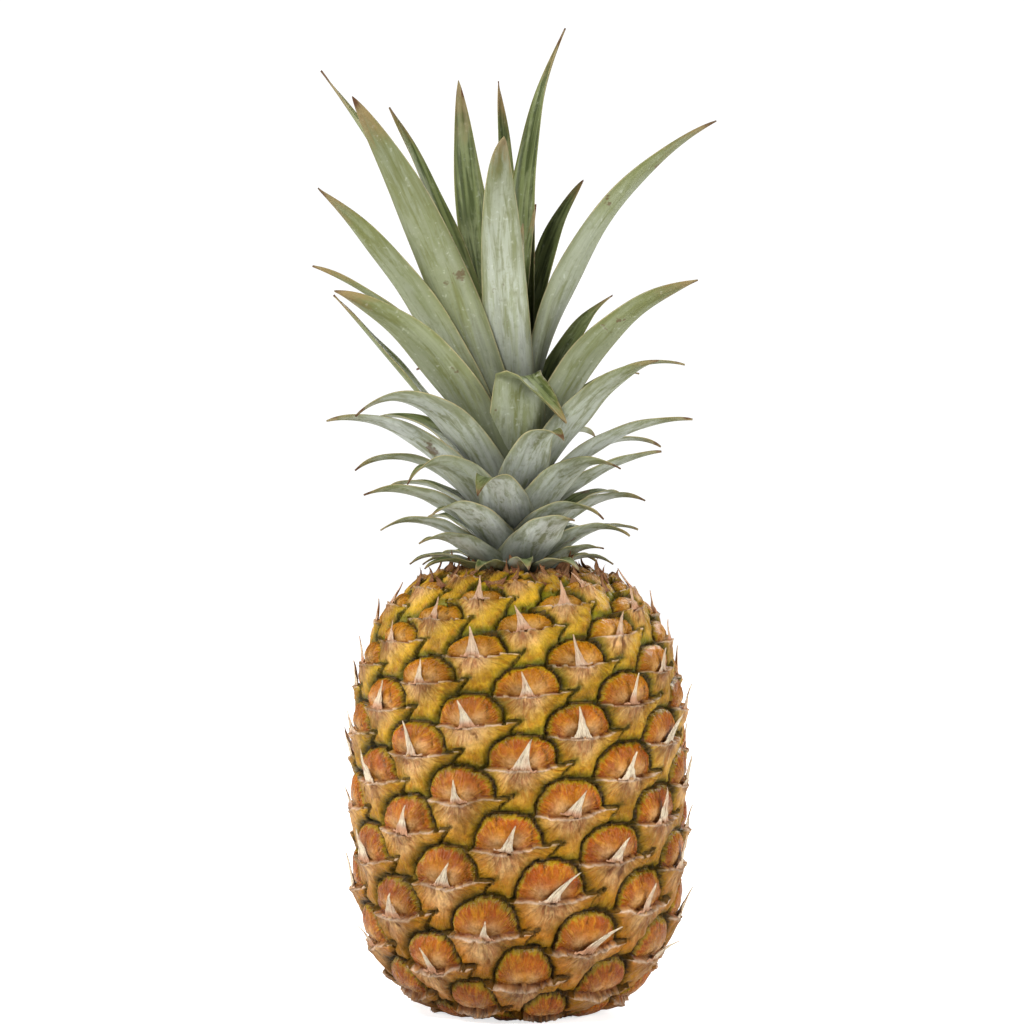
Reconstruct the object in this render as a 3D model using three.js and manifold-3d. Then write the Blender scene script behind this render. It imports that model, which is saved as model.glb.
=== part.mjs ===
// A whole ripe pineapple, standing upright on its cut base, in millimetres with +Z up.
//
// The origin is the middle of the flat spot that the fruit rests on, and -Y is the front.
// The fruit is one body whose eyes sit on crossing spirals, each with a domed top, a fleshy
// lower flap and a dry pointed tip. The crown is a short stem with one solid for each leaf.
// Leaves are described by the direction they grow in, their size and how far they arch over.

import * as THREE from 'three';
import { mergeVertices } from 'three/addons/utils/BufferGeometryUtils.js';
import Module from 'manifold-3d';

const wasm = await Module();
wasm.setup();

// Fruit
const FRUIT_RADIUS = 61.6; // between the eyes, at the widest height
const FRUIT_HALF_HEIGHT = 84.4;
const FRUIT_ROUNDNESS = 3.1; // exponent of the superellipse: 2 is an ellipse, more is boxier
const FLAT_CUT = 0.4; // the fruit's underside is flat where it reached this much lower
const FRUIT_CENTRE = FRUIT_HALF_HEIGHT - FLAT_CUT;
const ROW_LEAN = 0.048; // the rows of eyes climb this much for each millimetre to the right

// Eyes: eye number n stands one step round and one step up from eye n - 1, so that 7 shallow
// spirals climb to the right, 11 steep ones to the left and 18 run nearly straight up.
const SHALLOW = 7;
const STEEP = 11;
const UPRIGHT = SHALLOW + STEEP;
const EYE_STEP = -99.803; // degrees round the fruit from one eye to the next
const EYE_TWIST = -0.0044; // degrees, times the square of the eye's number
const EYE_START = 0.66; // degrees to the right of the front, for eye 0
const EYE_ZERO_ARC = 14.6; // along the skin from the widest height up to eye 0
const EYE_RISE = 1.64; // along the skin from one eye to the next, at the widest height
const EYE_SHRINK = 0.0031; // share of the rise that is lost for each millimetre further up
const LOWEST_EYE = -58;
const HIGHEST_EYE = 49;
const FULL_RELIEF_RADIUS = 34; // nearer the axis the eyes get flatter

// The dry tips on the eyes
const LOWEST_TIP = -40; // the eyes under the fruit have lost theirs
const TIP_WANDER = [0.13, 0.14, 0.7]; // most that a tip strays across, up and outward

// Crown
const CROWN_SHIFT = -2; // the crown grows a little to the left of the fruit's axis
const STEM_FOOT = 157.4;
const STEM_OUTLINE = [[15.6, STEM_FOOT], [15.6, 163], [14, 172], [10.5, 202], [6.5, 229], [3.5, 237], [0, 239]];
const STALK_RADIUS = 14;
const STALK_HEIGHT = 8;
const GAP = 0.3; // between pieces that touch
const ROUND_SIDES = 18;

// Leaves
const ROOT_SINK = 2;
const ROOT_THICKNESS = 2.2;
const BLADE_THICKNESS = 1.5;
const EDGE_THINNING = 0.45;
const ROOT_CURL = 62; // degrees from the keel to the edge, where the leaf clasps the stem
const BLADE_CURL = 38;
const ROLL_END = 0.5; // share of the length over which a blade rolls
const SECTION = [-1, 0, 1]; // points across the blade, from edge to edge
const LONG_STEPS = 7;
const SHORT_STEPS = 5;

const degrees = THREE.MathUtils.degToRad;

function seededRandom(seed) {
  let state = seed;
  return () => {
    state = (state * 1664525 + 1013904223) % 4294967296;
    return state / 4294967296;
  };
}

// Solids

function toSolid(geometry) {
  const bare = geometry.clone();
  bare.deleteAttribute('normal');
  bare.deleteAttribute('uv');
  const merged = mergeVertices(bare, 1e-4);
  const mesh = new wasm.Mesh({
    numProp: 3,
    vertProperties: new Float32Array(merged.attributes.position.array),
    triVerts: new Uint32Array(merged.index.array),
  });
  return new wasm.Manifold(mesh);
}

function toGeometry(solid) {
  const mesh = solid.getMesh();
  const geometry = new THREE.BufferGeometry();
  geometry.setAttribute('position', new THREE.BufferAttribute(mesh.vertProperties, 3));
  geometry.setIndex(new THREE.BufferAttribute(mesh.triVerts, 1));
  return geometry;
}

function meshSolid(points, triangles) {
  const geometry = new THREE.BufferGeometry();
  geometry.setAttribute('position', new THREE.Float32BufferAttribute(points.flatMap((p) => [p.x, p.y, p.z]), 3));
  geometry.setIndex(triangles.flat());
  return toSolid(geometry);
}

function turned(outline, sides) {
  const profile = outline.map(([radius, height]) => new THREE.Vector2(radius, height));
  return toSolid(new THREE.LatheGeometry(profile, sides).rotateX(Math.PI / 2));
}

function largestPiece(solid) {
  return solid.decompose().sort((a, b) => b.volume() - a.volume())[0];
}

function overlaps(a, b) {
  const [p, q] = [a.boundingBox(), b.boundingBox()];
  return [0, 1, 2].every((axis) => p.min[axis] < q.max[axis] && q.min[axis] < p.max[axis]);
}

// Fruit profile, measured along the skin from the widest height

function skinProfile() {
  const steps = 720;
  const points = [];
  for (let i = -steps; i <= steps; i += 1) {
    const level = Math.sin((i / steps) * (Math.PI / 2));
    const radius = FRUIT_RADIUS * (1 - Math.abs(level) ** FRUIT_ROUNDNESS) ** (1 / FRUIT_ROUNDNESS);
    points.push({ radius, height: FRUIT_CENTRE + FRUIT_HALF_HEIGHT * level, arc: 0 });
  }
  for (let i = 1; i < points.length; i += 1) {
    const [a, b] = [points[i - 1], points[i]];
    b.arc = a.arc + Math.hypot(b.radius - a.radius, b.height - a.height);
  }
  const middle = points[steps].arc;
  points.forEach((point) => { point.arc -= middle; });
  return points;
}

const PROFILE = skinProfile();

function profileAt(arc) {
  const last = PROFILE.length - 2;
  let low = 0;
  let high = last;
  while (low < high) {
    const middle = (low + high + 1) >> 1;
    if (PROFILE[middle].arc <= arc) low = middle;
    else high = middle - 1;
  }
  const [a, b] = [PROFILE[low], PROFILE[low + 1]];
  const share = THREE.MathUtils.clamp((arc - a.arc) / (b.arc - a.arc), 0, 1);
  return {
    radius: THREE.MathUtils.lerp(a.radius, b.radius, share),
    height: THREE.MathUtils.lerp(a.height, b.height, share),
    slope: Math.atan2(a.radius - b.radius, b.height - a.height), // tilt of the outward normal
  };
}

// The spot on the fruit that lies at an azimuth, in degrees to the right of the front, and at
// an arc length, with its outward, rightward and upward directions along the skin

function skinSpot(azimuth, arc) {
  const { radius, height, slope } = profileAt(arc);
  const angle = degrees(azimuth);
  const radial = new THREE.Vector3(Math.sin(angle), -Math.cos(angle), 0);
  const right = new THREE.Vector3(Math.cos(angle), Math.sin(angle), 0);
  const up = new THREE.Vector3(0, 0, 1);
  const normal = radial.clone().multiplyScalar(Math.cos(slope)).addScaledVector(up, Math.sin(slope));
  const along = up.clone().multiplyScalar(Math.cos(slope)).addScaledVector(radial, -Math.sin(slope));
  const place = radial.clone().multiplyScalar(radius).setZ(height);
  return { place, normal, right, along, radius };
}

// The eye spirals

function eyeAzimuth(number) {
  return EYE_START + EYE_STEP * number + EYE_TWIST * number * number;
}

function eyeArc(number) {
  const start = 1 - EYE_SHRINK * EYE_ZERO_ARC;
  return (1 - start * Math.exp(-EYE_SHRINK * EYE_RISE * number)) / EYE_SHRINK;
}

// A spot given by its offset from an eye: across in halves of the distance between two eyes
// of one row, and up in halves of the distance to the eye straight above

function nearTurn(angle) {
  return angle - 360 * Math.round(angle / 360);
}

const HALF_PITCH = nearTurn(EYE_STEP * (SHALLOW - STEEP)) / 2;

function eyeSpot(number, across, up) {
  const azimuth = eyeAzimuth(number) + across * HALF_PITCH;
  const lean = ROW_LEAN * Math.sin(degrees(azimuth)) * FRUIT_RADIUS;
  const arc = eyeArc(number + (up * UPRIGHT) / 2);
  const { radius } = profileAt(arc);
  return skinSpot(azimuth, arc + lean * Math.min(1, radius / FULL_RELIEF_RADIUS - 0.3));
}

// One eye as a pattern of points: across, up, and height above the skin between the eyes.
// The points of the rim belong to one eye and are shared with its neighbours.

const EYE_POINTS = {
  rightCorner: [0.86, -0.05, 0.4],
  leftCorner: [-0.83, 0.08, 0.4],
  rightRim1: [0.44, 0.74, -1.3],
  rightRim2: [0.62, 0.34, -1.2],
  rightLip: [0.66, -0.03, 0.3],
  leftLip: [-0.64, 0.05, 0.3],
  leftRim1: [-0.6, 0.42, -1.2],
  leftRim2: [-0.32, 0.86, -1.3],
  lipA: [-0.4, 0, 2.3],
  lipB: [-0.13, -0.04, 3.2],
  lipC: [0.13, -0.05, 3.2],
  lipD: [0.4, -0.05, 2.3],
  footA: [-0.13, 0.05, 1.4],
  footB: [0.13, 0.03, 1.4],
  tip: [0.04, 0.93, 5.5],
  domeA: [-0.42, 0.2, 2.2],
  domeB: [-0.24, 0.68, 2],
  domeC: [0.3, 0.62, 2],
  domeD: [0.48, 0.16, 2.2],
  domeTop: [0.03, 0.36, 2.7],
  flapA: [-0.3, -0.3, 2],
  flapB: [-0.11, -0.64, 1],
  flapC: [0.13, -0.66, 1],
  flapD: [0.32, -0.34, 2],
};

// A point of an eye's pattern may belong to the eye some steps further on, or further back

const above = (name, steps) => [name, steps];
const own = (name) => [name, 0];
const RIGHT_RIM = ['rightRim1', 'rightRim2', 'rightLip'];
const LEFT_RIM = ['leftLip', 'leftRim1', 'leftRim2'];
const LIPS = ['lipA', 'lipB', 'lipC', 'lipD'];

// Each loop runs anticlockwise, seen from outside. The eyes 7 and 11 further on lend their
// corners to the top of this one, and the eyes 7 and 11 before it lend their rims below.

const DOME_RIM = [
  own('footA'),
  own('footB'),
  ...[...RIGHT_RIM].reverse().map(own),
  above('leftCorner', SHALLOW),
  above('rightCorner', STEEP),
  ...[...LEFT_RIM].reverse().map(own),
];
const DOME_CROWN = ['domeA', 'domeD', 'domeC', 'domeB'].map(own);
const FLAP_RIM = [
  own('leftCorner'),
  ...RIGHT_RIM.map((name) => above(name, -SHALLOW)),
  above('rightCorner', -SHALLOW),
  above('leftCorner', -STEEP),
  ...LEFT_RIM.map((name) => above(name, -STEEP)),
  own('rightCorner'),
  own('rightLip'),
  ...[...LIPS].reverse().map(own),
  own('leftLip'),
];
const FLAP_CROWN = ['flapA', 'flapB', 'flapC', 'flapD'].map(own);
const LIP_WALL = [
  ['leftLip', 'lipA', 'footA'],
  ['lipA', 'lipB', 'footA'],
  ['lipC', 'lipD', 'footB'],
  ['lipD', 'rightLip', 'footB'],
].map((corners) => corners.map(own));
const TIP_RING = ['lipB', 'lipC', 'footB', 'footA'].map(own);

function patternPoint([name, steps]) {
  const [across, up] = EYE_POINTS[name];
  return new THREE.Vector2(across + nearTurn(EYE_STEP * steps) / HALF_PITCH, up + (2 * steps) / UPRIGHT);
}

// How far a point has turned round a middle, from 0 at the direction of a first point

function turnsFrom(first, middle, loop) {
  const start = patternPoint(first).sub(middle).angle();
  return loop.map((key) => {
    const turn = patternPoint(key).sub(middle).angle() - start;
    return (turn + 4 * Math.PI) % (2 * Math.PI);
  });
}

// Triangles between an outer loop and an inner one, taken in turn round a middle point

function bandTriangles(outer, inner, middle) {
  const shift = turnsFrom(outer[0], middle, inner);
  const firstInner = shift.indexOf(Math.min(...shift));
  const ring = [...inner.slice(firstInner), ...inner.slice(0, firstInner)];
  const outerTurns = [...turnsFrom(outer[0], middle, outer), 2 * Math.PI];
  const innerTurns = [...turnsFrom(ring[0], middle, ring), 2 * Math.PI];
  const triangles = [];
  let [i, j] = [0, 0];
  while (i < outer.length || j < ring.length) {
    const [a, b] = [outer[i % outer.length], ring[j % ring.length]];
    if (j >= ring.length || (i < outer.length && outerTurns[i + 1] <= innerTurns[j + 1])) {
      triangles.push([a, outer[(i + 1) % outer.length], b]);
      i += 1;
    } else {
      triangles.push([a, ring[(j + 1) % ring.length], b]);
      j += 1;
    }
  }
  return triangles;
}

function fanTriangles(loop, middle) {
  return loop.map((key, i) => [key, loop[(i + 1) % loop.length], middle]);
}

function eyePattern() {
  const flapMiddle = new THREE.Vector2(0, -0.32);
  const [a, b, c, d] = FLAP_CROWN;
  return [
    ...bandTriangles(DOME_RIM, DOME_CROWN, patternPoint(own('domeTop'))),
    ...fanTriangles(DOME_CROWN, own('domeTop')),
    ...LIP_WALL,
    ...fanTriangles(TIP_RING, own('tip')),
    ...bandTriangles(FLAP_RIM, FLAP_CROWN, flapMiddle),
    [a, b, c],
    [a, c, d],
  ];
}

// The height above the skin, and the place in its eye, of one point of one eye

function eyePoint(number, name, random) {
  const point = EYE_POINTS[name];
  if (name !== 'tip') return point;
  if (number < LOWEST_TIP) return [0, 0.04, 2.6];
  return point.map((value, i) => value + TIP_WANDER[i] * (2 * random() - 1));
}

function skinSolid() {
  const points = [];
  const found = new Map();
  const random = seededRandom(11);
  const pointIndex = (number, [name, steps]) => {
    const key = `${name} ${number + steps}`;
    if (!found.has(key)) {
      const [across, up, height] = eyePoint(number + steps, name, random);
      const spot = eyeSpot(number + steps, across, up);
      const relief = height * THREE.MathUtils.clamp(spot.radius / FULL_RELIEF_RADIUS, 0.3, 1);
      found.set(key, points.length);
      points.push(spot.place.addScaledVector(spot.normal, relief));
    }
    return found.get(key);
  };
  const pattern = eyePattern();
  const triangles = [];
  for (let number = LOWEST_EYE; number <= HIGHEST_EYE; number += 1) {
    pattern.forEach((triangle) => triangles.push(triangle.map((key) => pointIndex(number, key))));
  }
  return meshSolid(points, [...triangles, ...closingFans(points, triangles)]);
}

// The ragged edges that the lowest and the highest eyes leave open are closed to the axis

function closingFans(points, triangles) {
  const edges = new Set(triangles.flatMap(([a, b, c]) => [`${a} ${b}`, `${b} ${c}`, `${c} ${a}`]));
  const low = points.push(new THREE.Vector3(0, 0, -FLAT_CUT)) - 1;
  const high = points.push(new THREE.Vector3(0, 0, FRUIT_CENTRE + FRUIT_HALF_HEIGHT)) - 1;
  return [...edges]
    .map((edge) => edge.split(' ').map(Number))
    .filter(([a, b]) => !edges.has(`${b} ${a}`))
    .map(([a, b]) => [b, a, points[a].z < FRUIT_CENTRE ? low : high]);
}

function fruitSolid(cutters) {
  const floor = toSolid(new THREE.BoxGeometry(200, 200, 20).translate(0, 0, -10));
  const stalkPocket = turned(
    [[0, -1], [STALK_RADIUS + GAP, -1], [STALK_RADIUS + GAP, STALK_HEIGHT + GAP], [0, STALK_HEIGHT + GAP]],
    ROUND_SIDES,
  );
  return largestPiece(skinSolid().subtract(wasm.Manifold.union([floor, stalkPocket, ...cutters])));
}

// The stub of the stalk that the fruit was cut from, flush with the flat spot

function stalkSolid() {
  return turned([[0, 0], [STALK_RADIUS, 0], [STALK_RADIUS - 0.6, STALK_HEIGHT], [0, STALK_HEIGHT]], ROUND_SIDES);
}

// Crown leaves.
// azimuth: degrees to the right of the front. root: height on the stem. length and width: of
// the blade. rise: its slope in degrees where it leaves the stem, and tip: at its end. bend:
// above 1 the arch comes late. drift: degrees that it turns sideways, and roll: that it turns
// about its own length. taper: 3 for a sword that stays broad, near 1 for a leaf that narrows
// from its root. fold: a sharp crease.

const leaf = (name, azimuth, root, length, width, rise, tip, bend, drift, roll, taper = 1.4, fold = null) => ({
  name, azimuth, root, length, width, rise, tip, bend, drift, roll, taper, fold,
});

const SWORD_LEAVES = [
  leaf('sword_leaf_front', -12, 219, 129, 18, 81, 28, 2, 20, 10, 3),
  leaf('sword_leaf_tall', 165, 219, 158, 15, 88, 66, 1.8, -60, 0, 2.4),
  leaf('sword_leaf_back_centre', -165, 229, 126, 14, 84, 76, 1.5, 0, 30, 2.4),
  leaf('sword_leaf_back_left', -155, 223, 140, 17, 62, 84, 1.5, 0, 0, 3),
  leaf('sword_leaf_broad', -62, 215, 146, 20, 72, 53, 1.4, 8, 40, 3),
  leaf('sword_leaf_left_behind', -115, 220, 158, 14, 70, 50, 1.2, 0, 12, 2.6),
  leaf('sword_leaf_left_inner', -134, 219, 139, 14, 72, 54, 1.3, 3, 0, 2.6),
  leaf('sword_leaf_back_short', -150, 213, 112, 11, 69, 49, 1.3, 0, 0, 2.4),
  leaf('sword_leaf_left_high', -75, 209, 125, 17, 69, 41, 1.2, 0, 40, 2.6),
  leaf('sword_leaf_left_dark', -105, 203, 111, 13, 72, 19, 1.2, 0, 25, 2.4),
  leaf('sword_leaf_left_low', -62, 203, 101, 19, 70, 18, 1.2, 0, 40, 2.6),
  leaf('sword_leaf_left_under', -100, 199, 95, 14, 52, 47, 1.2, 0, 0, 2.4),
  leaf('sword_leaf_right_arching', 84, 213, 150, 15, 86, 27, 1.3, 18, -45, 2.6),
  leaf('sword_leaf_right_broken', 150, 221, 110, 12, 83, 32, 1.5, 0, 0, 2.6),
  leaf('sword_leaf_right_low', 72, 201, 104, 18, 76, 17, 1.3, 6, -40, 2.4),
  leaf('sword_leaf_front_folded', 8, 202, 66, 22, 78, 70, 1, 0, 0, 3, { at: 0.62, slope: -42, turn: 52 }),
  leaf('sword_leaf_back_upright', -178, 206, 96, 14, 72, 36, 1.5, 20, 0, 2.6),
  leaf('sword_leaf_back_right', 140, 203, 88, 14, 72, 24, 1.5, 0, 0, 2.4),
];

const ARCHING_LEAVES = [
  leaf('arching_leaf_01', -55, 193, 80, 22, 64, -42, 2, -9, 25),
  leaf('arching_leaf_02', -75, 189, 76, 18, 50, -12, 2, 1, 30),
  leaf('arching_leaf_03', -42, 183, 62, 20, 56, -52, 2, 5, 20),
  leaf('arching_leaf_04', -92, 185, 60, 14, 52, -40, 2, 0, 20),
  leaf('arching_leaf_05', -72, 179, 54, 15, 40, -20, 2, 4, 25),
  leaf('arching_leaf_06', -82, 173, 43, 13, 38, -34, 2, 1, 20),
  leaf('arching_leaf_07', -34, 174, 47, 19, 50, -30, 1.8, -8, 15),
  leaf('arching_leaf_08', -50, 168, 37, 17, 42, -24, 1.8, -2, 15),
  leaf('arching_leaf_09', -12, 181, 55, 22, 52, -50, 2.2, -6, 0),
  leaf('arching_leaf_10', 18, 191, 56, 22, 63, -34, 2.2, 10, 0),
  leaf('arching_leaf_11', 44, 183, 53, 21, 58, -27, 2, 18, -20),
  leaf('arching_leaf_12', 34, 176, 46, 17, 46, -40, 2, 25, -15),
  leaf('arching_leaf_13', 22, 169, 46, 22, 42, -6, 2, 12, -15),
  leaf('arching_leaf_14', 75, 178, 46, 13, 42, -22, 2.2, -6, -20),
  leaf('arching_leaf_15', 82, 172, 36, 13, 40, -36, 2, -2, -20),
  leaf('arching_leaf_16', 66, 167, 27, 11, 38, -14, 2, -2, -15),
  leaf('arching_leaf_17', 80, 187, 54, 13, 42, 8, 1.6, 0, -25),
  leaf('arching_leaf_18', 88, 194, 68, 15, 46, -2, 1.6, 0, -30),
  leaf('arching_leaf_19', 108, 202, 80, 14, 62, -14, 1.8, 0, -20),
  leaf('arching_leaf_20', 60, 197, 77, 20, 62, 12, 1.6, -6, -30),
];

// The leaves behind follow the same tiers, round the back of the stem

function backLeaves() {
  const random = seededRandom(23);
  const tiers = [
    { root: 197, length: 78, width: 16, rise: 62, tip: -10, azimuths: [130, 168, -142] },
    { root: 188, length: 66, width: 16, rise: 54, tip: -25, azimuths: [112, 150, -172, -122] },
    { root: 178, length: 50, width: 15, rise: 44, tip: -28, azimuths: [124, 162, -152, -110] },
    { root: 169, length: 38, width: 14, rise: 40, tip: -28, azimuths: [106, 142, -176, -132] },
  ];
  return tiers.flatMap((tier, row) => tier.azimuths.map((azimuth, i) => leaf(
    `back_leaf_${row + 1}${'abcd'[i]}`,
    azimuth,
    tier.root + 1.5 * i,
    tier.length * (0.92 + 0.16 * random()),
    tier.width,
    tier.rise,
    tier.tip * (0.7 + 0.6 * random()),
    2,
    -8 + 16 * random(),
    -15 + 30 * random(),
  )));
}

// Small leaves round the foot of the crown, and the young ones in its heart, grow from the
// stem as one body with it

function smallLeaves() {
  const random = seededRandom(5);
  const foot = [-64, -88, -22, 8, 38, 92, 124, 158, -166, -134, -108].map((azimuth, i) => leaf(
    'foot', azimuth, 165 + 0.5 * (i % 2), 25 + 5 * random(), 11, 36, -40, 1.8, 0, 0,
  ));
  const heart = [20, 130, -110].map((azimuth) => leaf(
    'heart', azimuth, 234, 62 + 22 * random(), 7, 86, 78, 1.5, 0, 0, 2.4,
  ));
  return { foot, heart };
}

function stemRadius(height) {
  const next = STEM_OUTLINE.findIndex(([, top]) => top > height);
  const [[r0, h0], [r1, h1]] = [STEM_OUTLINE[next - 1], STEM_OUTLINE[next]];
  return THREE.MathUtils.mapLinear(height, h0, h1, r0, r1);
}

// One station of a blade: its place in the leaf's own frame, with X away from the stem, and
// its directions along, across and towards the upper face

function bladeStations(shape, steps) {
  const { length, rise, tip, bend, drift, roll, fold } = shape;
  const place = new THREE.Vector3();
  const stations = [];
  const creaseStep = fold ? Math.round(fold.at * steps) : Infinity;
  for (let i = 0; i <= steps; i += 1) {
    const share = i / steps;
    const middle = Math.max(0, share - 0.5 / steps);
    const creased = i > creaseStep;
    const slope = degrees(creased ? fold.slope : rise + (tip - rise) * middle ** bend);
    const heading = degrees(creased ? fold.turn : drift * middle * middle);
    const along = new THREE.Vector3(
      Math.cos(slope) * Math.cos(heading),
      Math.cos(slope) * Math.sin(heading),
      Math.sin(slope),
    );
    if (i > 0) place.addScaledVector(along, length / steps);
    const across = new THREE.Vector3(-Math.sin(heading), Math.cos(heading), 0)
      .applyAxisAngle(along, degrees(roll) * THREE.MathUtils.smoothstep(share, 0, ROLL_END));
    const upper = along.clone().cross(across);
    stations.push({ share, place: place.clone(), along, across, upper });
  }
  return stations;
}

// A blade with a channelled section, ended by a point. grow adds that much all round.

function bladeSolid(shape, steps, grow = 0) {
  const points = [];
  const rings = [];
  const stations = bladeStations(shape, steps);
  stations.slice(0, -1).forEach(({ share, place, along, across, upper }, i) => {
    const half = (shape.width / 2) * (1 - share ** shape.taper) ** 0.85 + grow;
    const curl = degrees(THREE.MathUtils.lerp(ROOT_CURL, BLADE_CURL, Math.min(1, share * 2.5)));
    const radius = half / Math.sin(curl);
    const thickness = THREE.MathUtils.lerp(ROOT_THICKNESS, BLADE_THICKNESS, Math.min(1, share * 2));
    const setBack = i === 0 ? -grow : 0;
    const row = (offset) => SECTION.map((share2) => {
      const angle = share2 * curl;
      const rise = radius * (1 - Math.cos(angle)) + offset(share2);
      points.push(place.clone()
        .addScaledVector(across, radius * Math.sin(angle))
        .addScaledVector(upper, rise)
        .addScaledVector(along, setBack));
      return points.length - 1;
    });
    const outer = row(() => -grow);
    const inner = row((q) => thickness * (1 - EDGE_THINNING * q * q) + grow);
    rings.push([...outer, ...inner.reverse()]);
  });
  const end = stations[stations.length - 1];
  const point = points.push(end.place.clone()
    .addScaledVector(end.along, grow * 3)
    .addScaledVector(end.upper, BLADE_THICKNESS / 3)) - 1;
  const last = rings[rings.length - 1];
  const triangles = rings[0].slice(2).map((corner, i) => [rings[0][0], corner, rings[0][i + 1]]);
  rings.slice(1).forEach((ring, i) => ring.forEach((corner, j) => {
    const next = (j + 1) % ring.length;
    triangles.push([rings[i][j], rings[i][next], ring[next]], [rings[i][j], ring[next], corner]);
  }));
  last.forEach((corner, j) => triangles.push([corner, last[(j + 1) % last.length], point]));
  return meshSolid(points, triangles);
}

function leafMatrix(shape) {
  const turn = degrees(shape.azimuth - 90);
  const reach = stemRadius(shape.root) - ROOT_SINK;
  return new THREE.Matrix4()
    .makeRotationZ(turn)
    .setPosition(CROWN_SHIFT + reach * Math.cos(turn), reach * Math.sin(turn), shape.root);
}

function placed(solid, matrix) {
  return solid.transform(matrix.elements);
}

// The stem with its small leaves, and the same grown all round to cut its neighbours clear

function stemSolid(grow) {
  const { foot, heart } = smallLeaves();
  const outline = STEM_OUTLINE.map(([radius, height], i) => [
    radius > 0 ? radius + grow : 0,
    height + (i === 0 ? -grow : 0) + (i === STEM_OUTLINE.length - 1 ? grow : 0),
  ]);
  const core = turned([[0, STEM_FOOT - grow], ...outline], ROUND_SIDES).translate([CROWN_SHIFT, 0, 0]);
  const leaves = [...foot.map((shape) => [shape, 5]), ...heart.map((shape) => [shape, 4])]
    .map(([shape, steps]) => placed(bladeSolid(shape, steps, grow), leafMatrix(shape)));
  return wasm.Manifold.union([core, ...leaves]);
}

function leafSolids(shapes, stemClearance) {
  const blockers = [stemClearance];
  return shapes.map((shape) => {
    const matrix = leafMatrix(shape);
    const steps = shape.taper > 2 ? LONG_STEPS : SHORT_STEPS;
    const whole = placed(bladeSolid(shape, steps), matrix);
    const inTheWay = blockers.filter((blocker) => overlaps(blocker, whole));
    const clear = largestPiece(whole.subtract(wasm.Manifold.union(inTheWay)));
    blockers.push(placed(bladeSolid(shape, steps, GAP), matrix));
    return { shape, matrix, solid: clear, kept: clear.volume() / whole.volume() };
  });
}

// Assembly

function material(colour, roughness) {
  return new THREE.MeshStandardMaterial({ color: colour, roughness, metalness: 0 });
}

function namedMesh(name, solid, look) {
  const mesh = new THREE.Mesh(toGeometry(solid), look);
  mesh.name = name;
  return mesh;
}

const pineapple = new THREE.Group();
const rind = material(0xc4842c, 0.55);
const cutWood = material(0xa98257, 0.85);
const leafGreen = material(0x8e9a7c, 0.6);

const shapes = [...SWORD_LEAVES, ...ARCHING_LEAVES, ...backLeaves()];
const stemClearance = stemSolid(GAP);
const leaves = leafSolids(shapes, stemClearance);
const lowLeaves = leaves
  .filter(({ shape }) => shape.root < 185)
  .map(({ shape, matrix }) => placed(bladeSolid(shape, SHORT_STEPS, GAP), matrix));

pineapple.add(namedMesh('fruit', fruitSolid([stemClearance, ...lowLeaves]), rind));
pineapple.add(namedMesh('cut_stalk', stalkSolid(), cutWood));
pineapple.add(namedMesh('crown_stem', stemSolid(0), leafGreen));

leaves.forEach(({ shape, matrix, solid }) => {
  const mesh = namedMesh(shape.name, placed(solid, matrix.clone().invert()), leafGreen);
  mesh.applyMatrix4(matrix);
  pineapple.add(mesh);
});

export default pineapple;
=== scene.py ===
"""A whole ripe pineapple: its rind of spiral eyes, their dry tips, and a crown of waxy leaves.

Shapes are worked out in millimetres and scaled to metres at the end. Azimuths are in degrees
to the right of the front, which is -Y, and the fruit stands on the floor at z = 0.
"""

import math
from functools import reduce
from typing import NamedTuple

import bmesh
import bpy
import numpy as np
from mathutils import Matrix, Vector


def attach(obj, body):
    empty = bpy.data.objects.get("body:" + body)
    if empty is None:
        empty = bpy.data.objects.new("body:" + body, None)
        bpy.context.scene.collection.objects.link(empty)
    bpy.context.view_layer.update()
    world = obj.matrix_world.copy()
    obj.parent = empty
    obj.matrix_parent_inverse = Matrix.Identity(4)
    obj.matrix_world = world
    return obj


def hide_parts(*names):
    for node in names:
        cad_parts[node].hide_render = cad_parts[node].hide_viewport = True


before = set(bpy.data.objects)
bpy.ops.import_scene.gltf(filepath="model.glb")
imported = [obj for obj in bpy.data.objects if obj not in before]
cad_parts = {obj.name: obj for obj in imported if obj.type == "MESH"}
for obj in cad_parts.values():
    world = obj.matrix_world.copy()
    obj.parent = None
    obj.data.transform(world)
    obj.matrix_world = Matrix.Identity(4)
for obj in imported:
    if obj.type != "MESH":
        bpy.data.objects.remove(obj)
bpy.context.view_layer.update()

MM = 0.001

# Fruit, in millimetres, with the same driving dimensions as the solid that it replaces
FRUIT_RADIUS = 61.6
FRUIT_HALF_HEIGHT = 84.4
FRUIT_ROUNDNESS = 3.1
FLAT_CUT = 0.4
FRUIT_CENTRE = FRUIT_HALF_HEIGHT - FLAT_CUT
ROW_LEAN = 0.048  # how far the rows of eyes climb to one side, as a share of the radius
PROFILE_POINTS = 601
SKIN_COLUMNS = 421
SKIN_ROWS = 229
STALK_POCKET = (14.3, 8.3)  # radius, and the height of its end
CROWN_POCKET = (15.9, 157.1)
POCKET_WALL = 0.5

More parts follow.
